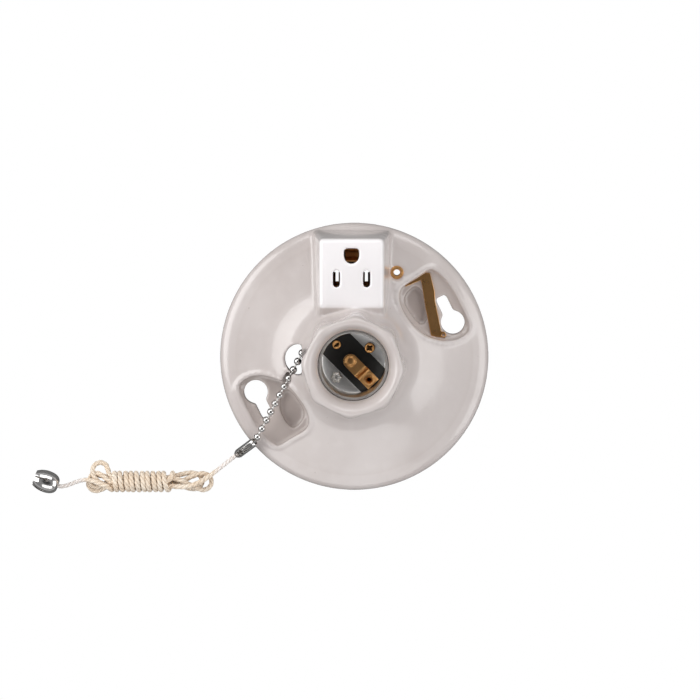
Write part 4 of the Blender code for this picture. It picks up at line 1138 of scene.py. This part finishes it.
def light_world(scene):
    """Grey sky, darkest straight overhead."""
    world = scene.world or bpy.data.worlds.new("studio")
    scene.world = world
    world.use_nodes = True
    tree = world.node_tree
    sky, height, ramp = (tree.nodes.new(f"ShaderNode{kind}")
                         for kind in ("TexCoord", "SeparateXYZ", "ValToRGB"))
    background = tree.nodes["Background"].inputs
    for start, end in ((sky.outputs["Generated"], height.inputs[0]),
                       (height.outputs["Z"], ramp.inputs["Fac"]),
                       (ramp.outputs["Color"], background["Color"])):
        tree.links.new(start, end)
    for _ in SKY_GREYS[2:]:
        ramp.color_ramp.elements.new(0.5)
    for stop, (where, grey) in zip(ramp.color_ramp.elements, SKY_GREYS):
        stop.position = where
        stop.color = (grey, grey, grey * 1.02, 1.0)
    background["Strength"].default_value = 0.75
    scene.view_settings.view_transform = "Standard"


class StageOperator(bpy.types.Operator):
    """Lay the white floor, set the soft lights and the camera"""

    bl_idname = "lampholder.stage"
    bl_label = "Floor, Lights and Camera"

    def execute(self, context):
        scene = context.scene
        lay_floor()
        light_world(scene)
        for name, place, size, share in SOFTBOXES:
            light = bpy.data.lights.new(name, "AREA")
            light.shape = "RECTANGLE"
            light.size, light.size_y = size
            light.energy = scene.lampholder.key_light * share
            lamp = added(name, light)
            lamp.location = place
            lamp.rotation_euler = (-Vector(place)).to_track_quat("-Z", "Y").to_euler()
        eye = bpy.data.cameras.new("studio_camera")
        eye.sensor_width = 36.0
        eye.lens = 205.0
        eye.clip_start, eye.clip_end = 0.05, 20.0
        camera = added("studio_camera", eye)
        away = VIEW_FROM.normalized()
        side = Vector((0.0, 1.0, 0.0)).cross(away).normalized()
        camera.matrix_world = Matrix.Translation(VIEW_AIM * MM + away * VIEW_DISTANCE) @ Matrix(
            (side, away.cross(side), away)).transposed().to_4x4()
        scene.camera = camera
        return {"FINISHED"}


class CordOperator(bpy.types.Operator):
    """Wind the cotton cord in its hank and tie its stopper knot inside the bell"""

    bl_idname = "lampholder.pull_cord"
    bl_label = "Pull Cord"

    def execute(self, context):
        settings = context.scene.lampholder
        thick = settings.cord_diameter / MM
        line = relaxed(evenly(curve_through(cord_route(), 10), CORD_STEP), 6)
        line = evenly(line, CORD_STEP)
        cotton = spun_cotton("spun_cotton", settings)
        rope = coat(laid_rope("cotton_pull_cord", line, thick, slack_swell), cotton)
        centre = BELL_MOUTH - BELL_DIR * (BELL_LEN - 3.7)
        out = BELL_DIR
        side = Vector((0.0, 0.0, 1.0)).cross(out).normalized()
        up = out.cross(side)
        loops = []
        for k in range(60):
            turn = FULL_TURN * 1.75 * k / 59
            swing = 1.25 + 0.35 * math.cos(1.5 * turn)
            loops.append(centre + side * (swing * math.cos(turn)) + up * (swing * math.sin(turn))
                         + out * (0.95 * math.sin(1.5 * turn)))
        knot = coat(laid_rope("cord_stopper_knot", evenly(loops, CORD_STEP), thick), cotton)
        long = sum((b - a).length for a, b in zip(line, line[1:]))
        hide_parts("cord_lead", "cord_hank", "cord_tail")
        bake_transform(rope)
        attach(knot, "cord")
        [tuple(p * MM) for p in line]
        return {"FINISHED"}


class PorcelainOperator(bpy.types.Operator):
    """Cast and glaze the porcelain body"""

    bl_idname = "lampholder.porcelain"
    bl_label = "Porcelain Body"

    def execute(self, context):
        glaze = glazed_porcelain("glazed_porcelain", context.scene.lampholder)
        fitted(glazed_body(), glaze, "porcelain_body", "lampholder")
        return {"FINISHED"}


class ShellOperator(bpy.types.Operator):
    """Roll the threaded screw shell"""

    bl_idname = "lampholder.screw_shell"
    bl_label = "Screw Shell"

    def execute(self, context):
        fitted(smooth(threaded_shell(), 32.0), bright_nickel("plated_shell", 0.32),
               "screw_shell", "lampholder")
        return {"FINISHED"}


class SocketOperator(bpy.types.Operator):
    """Fit the centre leaf, two brass screws, the earth strap and the staked rivet"""

    bl_idname = "lampholder.socket_fittings"
    bl_label = "Socket and Well Fittings"

    def execute(self, context):
        settings = context.scene.lampholder
        brass = stamped_metal("fittings_brass", settings.brass_colour, settings.brass_dark,
                              0.22, ROLLED_Y, 0.35)
        for node, name, *sizes in SCREWS:
            metal = screw_brass(f"{name}_brass", settings, sizes[1][1] * MM)
            fitted(smooth(domed_screw(name, *sizes), 30.0), metal, node, "lampholder")
        fitted(smooth(sprung_leaf(), 30.0), brass, "centre_contact_leaf", "centre_leaf")
        fitted(smooth(earth_strap(), 20.0), brass, "ground_strap", "lampholder")
        fitted(smooth(starred_rivet(), 30.0), bright_nickel("rivet_nickel", 0.2),
               "shell_rivet", "lampholder")
        return {"FINISHED"}


class ChainOperator(bpy.types.Operator):
    """String the bead chain and its coupling"""

    bl_idname = "lampholder.bead_chain"
    bl_label = "Bead Chain and Coupling"

    def execute(self, context):
        nickel = bright_nickel("bright_nickel", clean=0.70)
        for piece, node in ((linked_chain(), "bead_chain"), (chain_sleeve(), "chain_coupling")):
            fitted(smooth(piece, 34.0), nickel, node, "chain")
        return {"FINISHED"}


class BellOperator(bpy.types.Operator):
    """Press the bell at the cord's end"""

    bl_idname = "lampholder.cord_bell"
    bl_label = "Cord Bell"

    def execute(self, context):
        fitted(smooth(petal_bell(), 34.0), bright_nickel("bell_nickel", 0.12, 0.80),
               "cord_bell", "cord")
        return {"FINISHED"}


class FittingsOperator(bpy.types.Operator):
    """Give every carried-over fitting its metal, fibre or phenolic finish"""

    bl_idname = "lampholder.fittings"
    bl_label = "Contacts, Switch and Screws"

    def execute(self, context):
        settings = context.scene.lampholder
        finishes = {
            "brass": stamped_metal("stamped_brass", settings.brass_colour, settings.brass_dark,
                                   0.30, ROLLED_Y),
            "nickel": bright_nickel("plated_screws", 0.18),
            "steel": stamped_metal("zinc_steel", (0.55, 0.55, 0.56), (0.36, 0.35, 0.33), 0.30,
                                   ROLLED_X, 0.4),
            "black_phenolic": moulded_phenolic("moulded_phenolic"),
            "fibre": pressed_fibre("pressed_fibre"),
            "porcelain": glazed_porcelain("hidden_porcelain", settings),
            "cotton": spun_cotton("hidden_cotton", settings),
        }
        for row in frame["record"]["subparts"]:
            coat(frame["nodes"][row["node"]], finishes[row["material_slot"]])
        return {"FINISHED"}


OPERATORS = (StageOperator, FittingsOperator, BellOperator, CordOperator, ChainOperator,
             ShellOperator, SocketOperator, PorcelainOperator)


class LampholderPanel(bpy.types.Panel):
    """Settings and build steps"""

    bl_idname = "VIEW3D_PT_lampholder"
    bl_label = "Pull-Chain Lampholder"
    bl_space_type = "VIEW_3D"
    bl_region_type = "UI"
    bl_category = "Lampholder"

    def draw(self, context):
        for name in LampholderSettings.__annotations__:
            self.layout.prop(context.scene.lampholder, name)
        for step in OPERATORS:
            self.layout.operator(step.bl_idname)


CLASSES = (LampholderSettings, *OPERATORS, LampholderPanel)


def register():
    for made in CLASSES:
        bpy.utils.register_class(made)
    bpy.types.Scene.lampholder = bpy.props.PointerProperty(type=LampholderSettings)


def unregister():
    del bpy.types.Scene.lampholder
    for made in reversed(CLASSES):
        bpy.utils.unregister_class(made)


def main():
    register()
    for step in OPERATORS:
        group, name = step.bl_idname.split(".")
        getattr(getattr(bpy.ops, group), name)()
    deselect()


if __name__ == "__main__":
    main()
